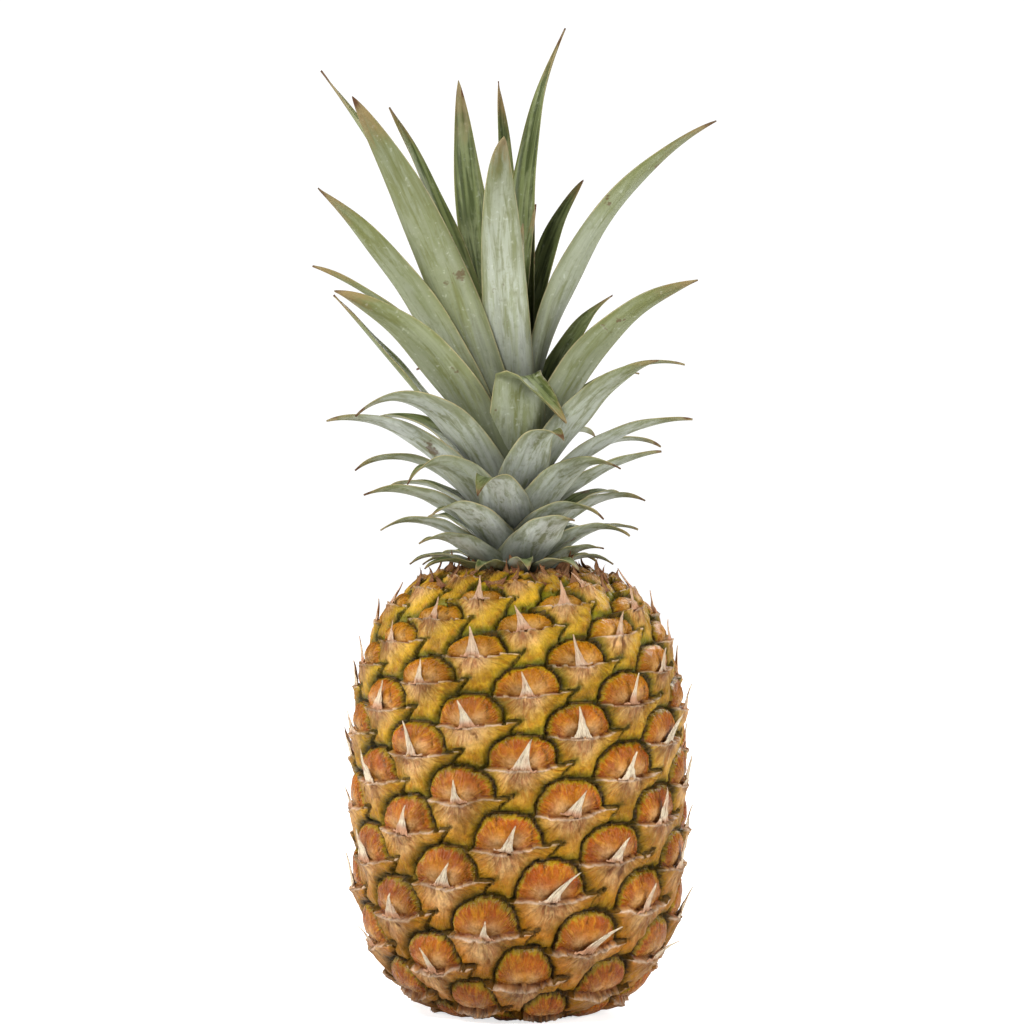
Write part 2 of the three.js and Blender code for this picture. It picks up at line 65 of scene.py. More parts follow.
# Eyes, numbered upwards along one spiral. Widths and heights are shares of an eye's own.
SHALLOW = 7
STEEP = 11
UPRIGHT = SHALLOW + STEEP
EYE_STEP = -99.803  # degrees from one eye to the next
EYE_TWIST = -0.0044  # how that step changes
EYE_START = 0.66
EYE_ZERO_ARC = 14.6  # how far eye 0 is above the widest height, along the rind
EYE_RISE = 1.64
EYE_SHRINK = 0.0031  # how that rise gets smaller upwards
LOWEST_EYE = -58
HIGHEST_EYE = 49
FULL_RELIEF_RADIUS = 34
LEAST_RELIEF = 0.3
FULL_TURN = 360
HALF_PITCH = (EYE_STEP * (SHALLOW - STEEP) - FULL_TURN) / 2
DOME_HALF_WIDTH = 0.635
DOME_TOP = 0.97
DOME_SQUARENESS = 2.1
WING_ROOT = 0.66
WING_REACH = 1.02
WING_DEPTH = 0.2
WING_TOP = 0.035
WING_FOOT = 0.7
WING_OVERLAP = 0.03
PAST_END = 3
WING_GROOVE_THINNESS = 1.7
WING_GROOVE_SHIFT = 0.03
FAN_RISE = 0.3
FLAP_LENGTH = 1.25
FLAP_HALF_WIDTH = 1.25
LIP_DIP = 0.07
LIP_DIP_WIDTH = 0.42
LIP_RISE = 0.1
LOW_DOMES_FROM = 16
DOME_LOWERING = 0.5

# Relief of the rind, in millimetres above the fruit's outline
DOME_HEIGHT = 3.3
DOME_SINK = 0.9
CLEFT_DEPTH = 0.6
FLAP_HEIGHT = 2.9
FLAP_EDGE = 0.4
FLAP_SINK = 0.2
FLAP_END_SINK = 0.3
KEEL_HEIGHT = 0.6
FOLD_HEIGHT = 3.4
LIP_HEIGHT = 0.6
FLAP_GROOVE = 1.3
RIM_GROOVE = 0.7
ROUGH_HEIGHT = 1.1
WAVER = 2.6

# Crown
CROWN_SHIFT = -2
STEM_OUTLINE = [(15.4, 157.3), (15.4, 163), (13.8, 172), (10.4, 202), (6.4, 229), (3.4, 237), (0, 238.8)]
ROOT_SINK = 2
ROLL_END = 0.5
ROOT_CURL = 62
BLADE_CURL = 38
BLADE_THICKNESS = 1.3
EDGE_THICKNESS = 0.35
BLADE_LIFT = 0.7
BLADE_POINT = 0.12
CURL_END = 0.4
CREASE_WIDTH = 0.04

rng = np.random.default_rng(17)


# Node trees


class Link:
    """One output socket of a node tree. Python's operators on it add Math nodes."""

    def __init__(self, tree, socket):
        self.tree = tree
        self.socket = socket

    def math(self, operation, *others):
        return self.tree.math(operation, self, *others)

    def __add__(self, other):
        return self.math("ADD", other)

    def __sub__(self, other):
        return self.math("SUBTRACT", other)

    def __mul__(self, other):
        return self.math("MULTIPLY", other)

    def __truediv__(self, other):
        return self.math("DIVIDE", other)

    def __pow__(self, other):
        return self.math("POWER", other)

    def __neg__(self):
        return self.math("MULTIPLY", -1)

    def __abs__(self):
        return self.math("ABSOLUTE")

    def __lt__(self, other):
        return self.math("LESS_THAN", other)

    def __gt__(self, other):
        return self.math("GREATER_THAN", other)

    def __rsub__(self, other):
        return self.tree.math("SUBTRACT", other, self)

    def __rtruediv__(self, other):
        return self.tree.math("DIVIDE", other, self)

    __radd__ = __add__
    __rmul__ = __mul__

    def sine(self):
        return self.math("SINE")

    def cosine(self):
        return self.math("COSINE")

    def at_most(self, other):
        return self.math("MINIMUM", other)

    def at_least(self, other):
        return self.math("MAXIMUM", other)

    def clamped(self):
        return self.at_least(0).at_most(1)

    def near(self, width):
        """1 where this is 0, falling to 0 like a bell of that half width."""
        scaled = self / width
        return (-(scaled * scaled)).math("EXPONENT")

    def rises(self, low, high):
        """0 below low and 1 above high, with a smooth step between them."""
        inputs = {"Value": self, "From Min": low, "From Max": high}
        return self.tree.add("ShaderNodeMapRange", {"interpolation_type": "SMOOTHSTEP"}, inputs)

    def between(self, low, high):
        """This mask, from 0 to 1, turned into a range of numbers."""
        return self * (high - low) + low

    def degrees_from(self, other):
        """The signed difference of two angles in degrees, at most half a turn."""
        turn = (self - other) / FULL_TURN
        return (turn - turn.math("ROUND")) * FULL_TURN


class Tree:
    """A node tree that is being built. Every node in it comes from add."""

    def __init__(self, tree):
        self.tree = tree

    def add(self, kind, settings=None, inputs=None, output=0):
        node = self.tree.nodes.new(kind)
        for name, value in (settings or {}).items():
            setattr(node, name, value)
        pairs = inputs.items() if isinstance(inputs, dict) else enumerate(inputs or [])
        for key, value in pairs:
            if isinstance(value, Link):
                self.tree.links.new(value.socket, node.inputs[key])
            else:
                node.inputs[key].default_value = value
        return Link(self, node.outputs[output])

    def math(self, operation, *values):
        return self.add("ShaderNodeMath", {"operation": operation}, values)

    def place(self, x, y, z):
        return self.add("ShaderNodeCombineXYZ", None, [x, y, z])

    def parts(self, vector):
        first = self.add("ShaderNodeSeparateXYZ", None, [vector])
        return [Link(self, socket) for socket in first.socket.node.outputs]

    def noise(self, vector, scale, detail=3.0, roughness=0.55, distortion=0.0):
        inputs = {"Vector": vector, "Scale": scale, "Detail": detail}
        inputs |= {"Roughness": roughness, "Distortion": distortion}
        return self.add("ShaderNodeTexNoise", None, inputs)

    def mix(self, factor, first, second):
        """Colour first where factor is 0, and second where it is 1."""
        return self.add("ShaderNodeMix", {"data_type": "RGBA"}, {0: factor, 6: first, 7: second}, output=2)

    def shaded(self, tint, factor):
        """A colour made darker or lighter by a factor."""
        settings = {"data_type": "RGBA", "blend_type": "MULTIPLY"}
        factors = self.place(factor, factor, factor)
        return self.add("ShaderNodeMix", settings, {0: 1.0, 6: tint, 7: factors}, output=2)

    def coated(self, base, *coats):
        """A base colour under coats that are laid on in turn, each a mask and its colour."""
        for mask, tint in coats:
            base = self.mix(mask, base, tint)
        return base

    def bump(self, height, distance, strength=1.0, normal=None):
        inputs = {"Height": height, "Distance": distance, "Strength": strength}
        if normal:
            inputs["Normal"] = normal
        return self.add("ShaderNodeBump", None, inputs)


def geometry_tree(name, inputs):
    """A Geometry Nodes tree with named number inputs, and those inputs as links by name."""
    group = bpy.data.node_groups.new(name, "GeometryNodeTree")
    group.interface.new_socket("Geometry", in_out="OUTPUT", socket_type="NodeSocketGeometry")
    for label, value in inputs.items():
        kind = "NodeSocketInt" if isinstance(value, int) else "NodeSocketFloat"
        group.interface.new_socket(label, in_out="INPUT", socket_type=kind).default_value = value
    tree = Tree(group)
    entry = group.nodes.new("NodeGroupInput")
    return tree, {label: Link(tree, entry.outputs[label]) for label in inputs}


def grown(tree, geometry, material, name):
    """Ends the tree, runs it on an empty mesh and gives the result as a plain object."""
    geometry = tree.add("GeometryNodeTransform", None, {"Geometry": geometry, "Scale": (MM, MM, MM)})
    geometry = tree.add("GeometryNodeRealizeInstances", None, [geometry])
    geometry = tree.add("GeometryNodeSetMaterial", None, {"Geometry": geometry, "Material": material})
    exit_node = tree.tree.nodes.new("NodeGroupOutput")
    tree.tree.links.new(geometry.socket, exit_node.inputs[0])
    seedling = bpy.data.objects.new(name + "_seedling", bpy.data.meshes.new(name + "_seedling"))
    bpy.context.scene.collection.objects.link(seedling)
    modifier = seedling.modifiers.new(name, "NODES")
    modifier.node_group = tree.tree
    for item in tree.tree.interface.items_tree:
        if item.in_out == "INPUT":
            modifier[item.identifier] = item.default_value
    evaluated = seedling.evaluated_get(bpy.context.evaluated_depsgraph_get())
    mesh = bpy.data.meshes.new_from_object(evaluated)
    bpy.data.objects.remove(seedling)
    return linked(name, mesh)


def linked(name, mesh):
    mesh.name = name
    piece = bpy.data.objects.new(name, mesh)
    bpy.context.scene.collection.objects.link(piece)
    return piece


def dressed(piece, material_slot, *nodes):
    """Puts a finished piece into the frame in place of CAD nodes."""
    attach(piece, "root")
    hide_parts(*nodes)
    return piece


# The fruit's outline and its eyes, in either kind of tree


def moved(tree, geometry, spot):
    return tree.add("GeometryNodeSetPosition", None, {"Geometry": geometry, "Position": spot})


def stored(tree, geometry, name, value, domain):
    """The geometry with a number kept on each of its points or instances, for the finish to read."""
    settings = {"data_type": "FLOAT", "domain": domain}
    inputs = {"Geometry": geometry, "Name": name, "Value": value}
    return tree.add("GeometryNodeStoreNamedAttribute", settings, inputs)


def profile_curve(tree):
    """The fruit's half outline from its foot to its top, radius along X and height along Z."""
    line = tree.add("GeometryNodeMeshLine", None, {"Count": PROFILE_POINTS})
    index = tree.add("GeometryNodeInputIndex")
    level = ((index / (PROFILE_POINTS - 1) - 0.5) * math.pi).sine()
    radius = (1 - abs(level) ** FRUIT_ROUNDNESS).at_least(0) ** (1 / FRUIT_ROUNDNESS) * FRUIT_RADIUS
    spot = tree.place(radius, 0.0, level * FRUIT_HALF_HEIGHT + FRUIT_CENTRE)
    return tree.add("GeometryNodeMeshToCurve", None, [moved(tree, line, spot)])


def profile_sample(tree, curve, arc):
    """Radius and height at an arc length from the widest height, and the outward normal there."""
    length = tree.add("GeometryNodeCurveLength", None, [curve])
    settings = {"mode": "LENGTH", "use_all_curves": True}
    where = {"Curves": curve, "Length": (length / 2 + arc).at_least(0.001).at_most(length - 0.001)}
    spot = tree.add("GeometryNodeSampleCurve", settings, where, output=1)
    tangent = Link(tree, spot.socket.node.outputs[2])
    radius, _, height = tree.parts(spot)
    along_radius, _, along_height = tree.parts(tangent)
    return radius, height, along_height, -along_radius


def relief_share(radius):
    """How much of the relief is left where the fruit narrows towards its ends."""
    return (radius / FULL_RELIEF_RADIUS).at_least(LEAST_RELIEF).at_most(1)


def lean_at(azimuth, radius):
    """How much further up the rows of eyes run at that azimuth."""
    fade = (radius / FULL_RELIEF_RADIUS - LEAST_RELIEF).at_most(1)
    return (azimuth * math.radians(1)).sine() * (ROW_LEAN * FRUIT_RADIUS) * fade


def eye_azimuth(number):
    return number * number * EYE_TWIST + number * EYE_STEP + EYE_START


def eye_arc(number):
    start = 1 - EYE_SHRINK * EYE_ZERO_ARC
    return (1 - (number * (-EYE_SHRINK * EYE_RISE)).math("EXPONENT") * start) / EYE_SHRINK


def eye_number(arc):
    """The fractional number of the eye that stands at that arc length."""
    start = 1 - EYE_SHRINK * EYE_ZERO_ARC
    share = ((1 - arc * EYE_SHRINK) / start).at_least(0.001)
    return share.math("LOGARITHM", math.e) / (-EYE_SHRINK * EYE_RISE)


def eyes_round(azimuth, number):
    """The four eyes round a spot, each as its number and the spot's offset across and up."""
    nearest = number.math("ROUND")
    turn = azimuth.degrees_from(eye_azimuth(nearest))
    climb = number - nearest
    step = number * (2 * EYE_TWIST) + EYE_STEP
    shallow_turn = step * SHALLOW + 2 * FULL_TURN
    steep_turn = step * STEEP + 3 * FULL_TURN
    i = ((turn * STEEP - climb * steep_turn) / FULL_TURN).math("FLOOR")
    j = ((climb * shallow_turn - turn * SHALLOW) / FULL_TURN).math("FLOOR")
    first = nearest + i * SHALLOW + j * STEEP
    found = []
    for steps in (0, SHALLOW, STEEP, UPRIGHT):
        eye = first + steps
        across = azimuth.degrees_from(eye_azimuth(eye)) / HALF_PITCH
        up = (number - eye) * (2 / UPRIGHT)
        up = up + (across / LIP_DIP_WIDTH).near(1) * LIP_DIP - (across * across).at_most(1) * LIP_RISE
        lowered = ((eye - LOW_DOMES_FROM) / (HIGHEST_EYE - LOW_DOMES_FROM)).clamped() * DOME_LOWERING
        up = up + up.at_least(0) * lowered
        found.append((eye, across, up))
    return found


def dome_reach(across, up):
    """0 in the middle of a dome's foot and 1 on its rim."""
    wide = (abs(across) / DOME_HALF_WIDTH) ** DOME_SQUARENESS
    tall = (up.at_least(0) / DOME_TOP) ** DOME_SQUARENESS
    return (wide + tall) ** (1 / DOME_SQUARENESS)


def rim_distance(across, up):
    """How far a spot is from the rim of a dome, which is open along its foot."""
    above = abs(dome_reach(across, up) - 1)
    beside = (abs(across) - DOME_HALF_WIDTH).at_least(0) + abs(up) + 0.2
    below = up < 0
    return above * (1 - below) + beside * below


def fan_angle(across, up):
    """The direction of a spot on a flap, as seen from a little above the root of its spike."""
    return across.math("ARCTAN2", FAN_RISE - up.at_most(0))


def wing_span(up):
    """Half the width of a flap that far below its lip: wide at the lip and soon narrower."""
    return (up.at_most(0) / WING_DEPTH).math("EXPONENT").between(WING_ROOT, WING_REACH)


def on_flap(across, up):
    return (up < 0) * (abs(across) < wing_span(up))


def wing_distance(across, up):
    """How far a spot is from the free edges of a flap's wings, above them and at their ends."""
    side = abs(across)
    past_ends = (DOME_HALF_WIDTH - WING_OVERLAP - side).at_least(0) + (side - WING_REACH).at_least(0)
    above = abs(up - WING_TOP) + past_ends * PAST_END
    past_sides = up.at_least(0) + (-up - WING_FOOT).at_least(0)
    end = abs(wing_span(up) - side) + past_sides * PAST_END
    return above.at_most(end) * WING_GROOVE_THINNESS + WING_GROOVE_SHIFT


def eye_fields(tree, azimuth, number):
    """What the skin is like at a spot: the offset from its own eye, and masks of its parts."""
    eyes = eyes_round(azimuth, number)
    (_, *below), (_, *right), (_, *left), _ = eyes
    in_below = dome_reach(*below) < 1
    in_right = (dome_reach(*right) < 1) * (right[1] > 0) * (1 - in_below)
    in_left = (dome_reach(*left) < 1) * (left[1] > 0) * (1 - in_below) * (1 - in_right)
    dome = in_below + in_right + in_left
    flap_right = (1 - dome) * on_flap(*right)
    flap_left = (1 - dome) * (1 - flap_right) * on_flap(*left)
    flap_above = (1 - dome) * (1 - flap_right) * (1 - flap_left)
    shares = (in_below, in_right + flap_right, in_left + flap_left, flap_above)
    eye, across, up = (sum(part * share for part, share in zip(parts, shares)) for parts in zip(*eyes))
    edges = [distance(*offset) for _, *offset in eyes for distance in (rim_distance, wing_distance)]
    folds = tree.noise(tree.place(fan_angle(across, up) * 2.2, up * 0.5, eye * 0.61), 2.2, 3, 0.6, 0.4)
    rim = reduce(Link.at_most, edges)
    return {"eye": eye, "across": across, "up": up, "dome": dome, "rim": rim, "folds": folds}


def relief_of(fields, rough):
    """Height of the skin above the fruit's outline, in millimetres, before it fades."""
    across, up, dome, rim, folds = (fields[name] for name in ("across", "up", "dome", "rim", "folds"))
    reach = dome_reach(across, up)
    cushion = (1 - reach.at_most(1) ** 4) ** 0.5
    foot = up.rises(0, 0.3).between(0.42, 1)
    cleft = (across / 0.09).near(1) * up.near(0.3)
    dome_height = cushion * foot * DOME_HEIGHT - DOME_SINK - cleft * CLEFT_DEPTH
    depth = (-up / FLAP_LENGTH).clamped()
    wing = (1 - (across / FLAP_HALF_WIDTH) ** 2).at_least(0)
    keel = (across / 0.13).near(1) * (1 - depth)
    flap_height = (wing * FLAP_HEIGHT + FLAP_EDGE) * (1 - depth) ** 1.15 - FLAP_SINK - depth * FLAP_END_SINK
    flap_height = flap_height + keel * KEEL_HEIGHT + (folds - 0.5) * FOLD_HEIGHT * (1 - depth * 0.5)
    lip = (up + 0.02).near(0.06) * (1 - dome) * wing * LIP_HEIGHT
    height = dome_height * dome + (flap_height + lip) * (1 - dome)
    height = height - rim.near(0.08) * (1 - dome) * FLAP_GROOVE - rim.near(0.06) * RIM_GROOVE
    return height + (rough - 0.5) * ROUGH_HEIGHT


def rind_skin(material):
    """The rind: a grid wrapped round the outline and raised into domes, flaps and grooves."""
    inputs = {"Columns": SKIN_COLUMNS, "Rows": SKIN_ROWS, "Relief": 1.0, "Waver": WAVER}
    tree, sizes = geometry_tree("rind_skin", inputs)
    counts = {"Vertices X": sizes["Columns"], "Vertices Y": sizes["Rows"]}
    skin = tree.add("GeometryNodeMeshGrid", None, {"Size X": 1.0, "Size Y": 1.0, **counts})
    column, row, _ = tree.parts(tree.add("GeometryNodeInputPosition"))
    curve = profile_curve(tree)
    half_length = tree.add("GeometryNodeCurveLength", None, [curve]) / 2
    azimuth = column * FULL_TURN
    arc = row * 2 * half_length
    radius, height, out_share, up_share = profile_sample(tree, curve, arc)
    number = eye_number(arc - lean_at(azimuth, radius))
    turn = azimuth * math.radians(1)
    cylinder = tree.place(turn.sine() * FRUIT_RADIUS, turn.cosine() * FRUIT_RADIUS, height)
    shifted = tree.place(turn.cosine() * FRUIT_RADIUS, height, turn.sine() * FRUIT_RADIUS)
    sideways = (tree.noise(cylinder, 0.11, 3, 0.6) - 0.5) * sizes["Waver"] * 2
    upwards = (tree.noise(shifted, 0.12, 3, 0.6) - 0.5) * sizes["Waver"]
    rough = tree.noise(cylinder, 0.42, 3, 0.6)
    fields = eye_fields(tree, azimuth + sideways, number + upwards)
    relief = relief_of(fields, rough) * relief_share(radius) * sizes["Relief"]
    reach = (radius + relief * out_share).at_least(0)
    level = (height + relief * up_share).at_least(0)
    pockets = [(*STALK_POCKET, height < FRUIT_CENTRE), (*CROWN_POCKET, height > FRUIT_CENTRE)]
    walls = [(1 - reach.rises(wall, wall + POCKET_WALL)) * here for wall, _, here in pockets]
    level = level + sum((bottom - level) * within for (_, bottom, _), within in zip(pockets, walls))
    spot = tree.place(turn.sine() * reach, -(turn.cosine() * reach), level)
    picked = {"ID": fields["eye"].math("ROUND"), "Seed": 4}
    fields["tone"] = tree.add("FunctionNodeRandomValue", {"data_type": "FLOAT"}, picked, output=1)
    for name in ("across", "up", "dome", "rim", "folds", "tone"):
        skin = stored(tree, skin, name, fields[name], "POINT")
    skin = moved(tree, skin, spot)
    skin = tree.add("GeometryNodeMergeByDistance", None, {"Geometry": skin, "Distance": 0.01})
    skin = tree.add("GeometryNodeSetShadeSmooth", None, {"Geometry": skin, "Shade Smooth": True})
    return grown(tree, skin, material, "rind_skin")


# Dry tips


TIP_COLUMNS = [-5, -3.9, -3.1, -2.5, -1.9, -1.3, -0.7, -0.25, 0.25, 0.7, 1.3, 1.9, 2.5, 3.1, 3.9, 5]
TIP_ROWS = 8
TISSUE_HALF_THICKNESS = 0.3
TISSUE_REACH = 66.8
FIRST_TIP = LOWEST_EYE + 14
TIP_COUNT = HIGHEST_EYE - LOWEST_EYE - 12
TIP_LIFT = 2.5
TIP_SWAY = ((-0.1, -0.2, -0.22), (0.2, 0.2, 0.22))
TIP_SIZES = (0.85, 1.16)
SHORT_TIPS = ((150, 105), (0.78, 1))
BRACT_COUNT = 60
BRACT_LIFT = 0.6
BRACT_SWAY = ((-0.12, -0.5, -1.1), (0.5, 0.5, 1.1))
BRACT_SIZES = (0.6, 1.0)
BRACT_STEP = 137.5
BRACT_REACH = (19, 42)

# Length, sideways bend, twist, how torn, half width, curl and hook
TIP_KINDS = {
    "straight_tip": (13.5, 0.03, 0.05, 0, 3.3),
    "right_tip": (12.5, 0.3, 0.1, 0, 3.4),
    "left_tip": (13, -0.2, -0.12, 0, 3.5),
    "torn_tip": (11, 0.12, 0.3, 1, 3.2),
    "slim_tip": (14.5, -0.06, 0, 0.5, 2.4),
    "raised_tip": (12.5, 0.1, 0.1, 0, 2.6, 0.5),
    "lying_tip": (12, 0.9, 0.2, 0, 2.7),
}
BRACT_KINDS = {
    "broad_bract": (10, 0.1, 0.2, 0, 4.6, 0, 4),
    "hooked_bract": (13, 0.3, 0.3, 0, 3.6, 0, 5),
    "torn_bract": (9, -0.3, -0.4, 1, 4.8, 0.3, 3),
    "narrow_bract": (14, -0.2, 0.2, 0.3, 2.8, 0, 4),
}


def papery_tip(name, length, bend, twist, torn, width, curl=0.0, hook=0.0):
    """A thin dry tip with a low ragged papery lip at each side of it, standing on y = 0."""
    columns = np.array(TIP_COLUMNS)
    rows = np.linspace(0, 1, TIP_ROWS)
    spine = np.clip(1 - np.abs(columns) / width, 0, 1) ** 1.25
    ragged = 0.55 + 0.3 * np.cos(columns * 2.3 + length)
    tall = ragged + (length - ragged) * spine * (1 - torn * (columns > 0.5) * 0.5)
    mesh = bmesh.new()
    layers = {label: mesh.verts.layers.float.new(label) for label in ("along", "across")}
    grid = []
    for side in (0, 1):
        sheet = []
        for v in rows:
            line = []
            for x, top in zip(columns, tall):
                y = v * top
                share = y / length
                squeeze = 1 - 0.35 * share
                lift = 0.3 + (2.4 + curl * share * 4) * share ** 1.5 - 0.04 * x * x * (1 - share)
                lift += 0.35 * math.sin(x * 2.1 + length) * (1 - share)
                lift += 0.25 * math.cos(x * 5) * (1 - 0.6 * share)
                lift += hook * share ** 3 + twist * x * share + 0.05 * hook * x * x * share
                lift += (TISSUE_HALF_THICKNESS if side else -TISSUE_HALF_THICKNESS) * (1 - 0.5 * v)
                sideways = x * squeeze + bend * share ** 1.6 * length
                vertex = mesh.verts.new((sideways, y - 0.7 * hook * share ** 4, lift))
                vertex[layers["along"]] = share
                vertex[layers["across"]] = x / width
                line.append(vertex)
            sheet.append(line)
        grid.append(sheet)
    close_sheet(mesh, grid)
    return bpy.data.objects.new(name, smooth_mesh(mesh, name))


def smooth_mesh(mesh, name):
    for face in mesh.faces:
        face.smooth = True
    data = bpy.data.meshes.new(name)
    mesh.to_mesh(data)
    mesh.free()
    return data


def close_sheet(mesh, grid):
    """Faces of a thin sheet given as a lower and an upper grid of vertices, with its edges closed."""
    low, high = grid
    rows, columns = len(low), len(low[0])
    for i in range(rows - 1):
        for j in range(columns - 1):
            mesh.faces.new((low[i][j], low[i + 1][j], low[i + 1][j + 1], low[i][j + 1]))
            mesh.faces.new((high[i][j], high[i][j + 1], high[i + 1][j + 1], high[i + 1][j]))
    ring = [(0, j) for j in range(columns)] + [(i, columns - 1) for i in range(1, rows)]
    ring += [(rows - 1, j) for j in range(columns - 2, -1, -1)] + [(i, 0) for i in range(rows - 2, 0, -1)]
    for (i, j), (k, m) in zip(ring, ring[1:] + ring[:1]):
        mesh.faces.new((low[i][j], low[k][m], high[k][m], high[i][j]))


def dry_tips(material):
    """One papery tip on the lip of each eye, picked and turned at random."""
    tree, sizes = geometry_tree("dry_tips", {"Count": TIP_COUNT, "Seed": 6, "Size": 1.0})
    number = tree.add("GeometryNodeInputIndex") + FIRST_TIP
    curve = profile_curve(tree)
    azimuth = eye_azimuth(number)
    arc_up = eye_arc(number)
    radius = profile_sample(tree, curve, arc_up)[0]
    arc = arc_up + lean_at(azimuth, radius) - LIP_DIP * UPRIGHT / 2 * EYE_RISE
    site = profile_sample(tree, curve, arc)
    fade = relief_share(site[0])
    heights, shares = SHORT_TIPS
    share = site[1].rises(*heights).between(*shares) * fade
    pieces = scattered(tree, sizes, TIP_KINDS, azimuth, site, fade * TIP_LIFT, TIP_SWAY, TIP_SIZES, share)
    return grown(tree, pieces, material, "dry_tips")


def scattered(tree, sizes, kinds, azimuth, site, lift, sway_range, size_range, share):
    """Kinds of dry tissue on sites of the fruit's outline, picked, turned and sized at random."""
    radius, height, out_share, up_share = site
    angle = azimuth * math.radians(1)
    reach = radius + out_share * lift
    spot = tree.place(angle.sine() * reach, -(angle.cosine() * reach), height + up_share * lift)
    normal = tree.place(angle.sine() * out_share, -(angle.cosine() * out_share), up_share)
    along = tree.place(-(angle.sine() * up_share), angle.cosine() * up_share, out_share)
    points = moved(tree, tree.add("GeometryNodeMeshLine", None, {"Count": sizes["Count"]}), spot)
    axes = {"primary_axis": "Z", "secondary_axis": "Y"}
    facing = tree.add("FunctionNodeAxesToRotation", axes, {"Primary Axis": normal, "Secondary Axis": along})
    sway = at_random(tree, "FLOAT_VECTOR", sway_range, sizes["Seed"], 0)
    facing = tree.add("FunctionNodeRotateRotation", {"rotation_space": "LOCAL"}, [facing, sway])
    size = at_random(tree, "FLOAT", size_range, sizes["Seed"] + 1, 1) * share * sizes["Size"]
    choices = tree.tree.nodes.new("GeometryNodeJoinGeometry")
    for name, shape in reversed(kinds.items()):
        inputs = {"Object": papery_tip(name, *shape), "As Instance": True}
        kind = tree.add("GeometryNodeObjectInfo", None, inputs, output=4)
        tree.tree.links.new(kind.socket, choices.inputs[0])
    inputs = {"Points": points, "Rotation": facing, "Scale": tree.place(size, size, size)}
    inputs |= {"Instance": Link(tree, choices.outputs[0]), "Pick Instance": True}
    inputs["Instance Index"] = at_random(tree, "INT", (0, len(kinds) - 1), sizes["Seed"] + 2, 2)
    pieces = tree.add("GeometryNodeInstanceOnPoints", None, inputs)
    tone = at_random(tree, "FLOAT", (0.0, 1.0), sizes["Seed"] + 3, 1)
    pieces = stored(tree, pieces, "tone", tone, "INSTANCE")
    pieces = tree.add("GeometryNodeRealizeInstances", None, [pieces])
    x, y, z = tree.parts(tree.add("GeometryNodeInputPosition"))
    drawn_in = (TISSUE_REACH / (x * x + y * y) ** 0.5).at_most(1)
    inside = tree.place(x * drawn_in, y * drawn_in, z.at_least(0.2))
    return moved(tree, pieces, inside)


def at_random(tree, kind, bounds, seed, output):
    """A random number or vector between two bounds for each point, the same on every run."""
    inputs = {"Min": bounds[0], "Max": bounds[1], "Seed": seed}
    return tree.add("FunctionNodeRandomValue", {"data_type": kind}, inputs, output)


def dried_bracts(material):
    """Brown curled bracts that stand on the shoulders, round the foot of the crown."""
    tree, sizes = geometry_tree("dried_bracts", {"Count": BRACT_COUNT, "Seed": 12, "Size": 1.0})
    index = tree.add("GeometryNodeInputIndex")
    curve = profile_curve(tree)
    length = tree.add("GeometryNodeCurveLength", None, [curve])
    arc = length / 2 - (index / sizes["Count"]).between(*BRACT_REACH)
    site = profile_sample(tree, curve, arc)
    azimuth = index * BRACT_STEP
    pieces = scattered(tree, sizes, BRACT_KINDS, azimuth, site, BRACT_LIFT, BRACT_SWAY, BRACT_SIZES, 1.0)
    return grown(tree, pieces, material, "dried_bracts")


# Crown leaves


class Leaf(NamedTuple):
    """A leaf's direction, size and arch, with the same meanings as in the solids."""

    azimuth: float
    root: float  # height of its foot on the stem
    length: float
    width: float
    rise: float  # slope in degrees where it leaves the stem
    tip: float  # slope in degrees at its end
    bend: float = 2.0  # how late it turns from one slope to the other
    drift: float = 0.0  # turn to the side in degrees, by its end
    roll: float = 0.0  # turn about its own length in degrees
    taper: float = 1.4
    fold: tuple = ()  # share of its length at a crease, and the slope and drift past it


SWORD_LEAVES = {
    "front": (-12, 219, 129, 18, 81, 28, 2, 20, 10, 3),
    "tall": (165, 219, 157.7, 15, 88, 66, 1.8, -60, 0, 2.4),
    "back_centre": (-165, 229, 126, 14, 84, 76, 1.5, 0, 30, 2.4),
    "back_left": (-155, 223, 140, 17, 62, 84, 1.5, 0, 0, 3),
    "broad": (-62, 215, 146, 20, 72, 53, 1.4, 8, 40, 3),
    "left_behind": (-115, 220, 158, 14, 70, 50, 1.2, 0, 12, 2.6),
    "left_inner": (-134, 219, 139, 14, 72, 54, 1.3, 3, 0, 2.6),
    "back_short": (-150, 213, 112, 11, 69, 49, 1.3, 0, 0, 2.4),
    "left_high": (-75, 209, 125, 17, 69, 41, 1.2, 0, 40, 2.6),
    "left_dark": (-105, 203, 111, 13, 72, 19, 1.2, 0, 25, 2.4),
    "left_low": (-62, 203, 101, 19, 70, 18, 1.2, 0, 40, 2.6),
    "left_under": (-100, 199, 95, 14, 52, 47, 1.2, 0, 0, 2.4),
    "right_arching": (84, 213, 150, 15, 86, 27, 1.3, 18, -45, 2.6),
    "right_broken": (150, 221, 110, 12, 83, 32, 1.5, 0, 0, 2.6),
    "right_low": (72, 201, 104, 18, 76, 17, 1.3, 6, -40, 2.4),
    "front_folded": (8, 202, 66, 22, 78, 70, 1, 0, 0, 3, (0.62, -42, 52)),
    "back_upright": (-178, 206, 96, 14, 72, 36, 1.5, 20, 0, 2.6),
    "back_right": (140, 203, 88, 14, 72, 24, 1.5, 0, 0, 2.4),
}

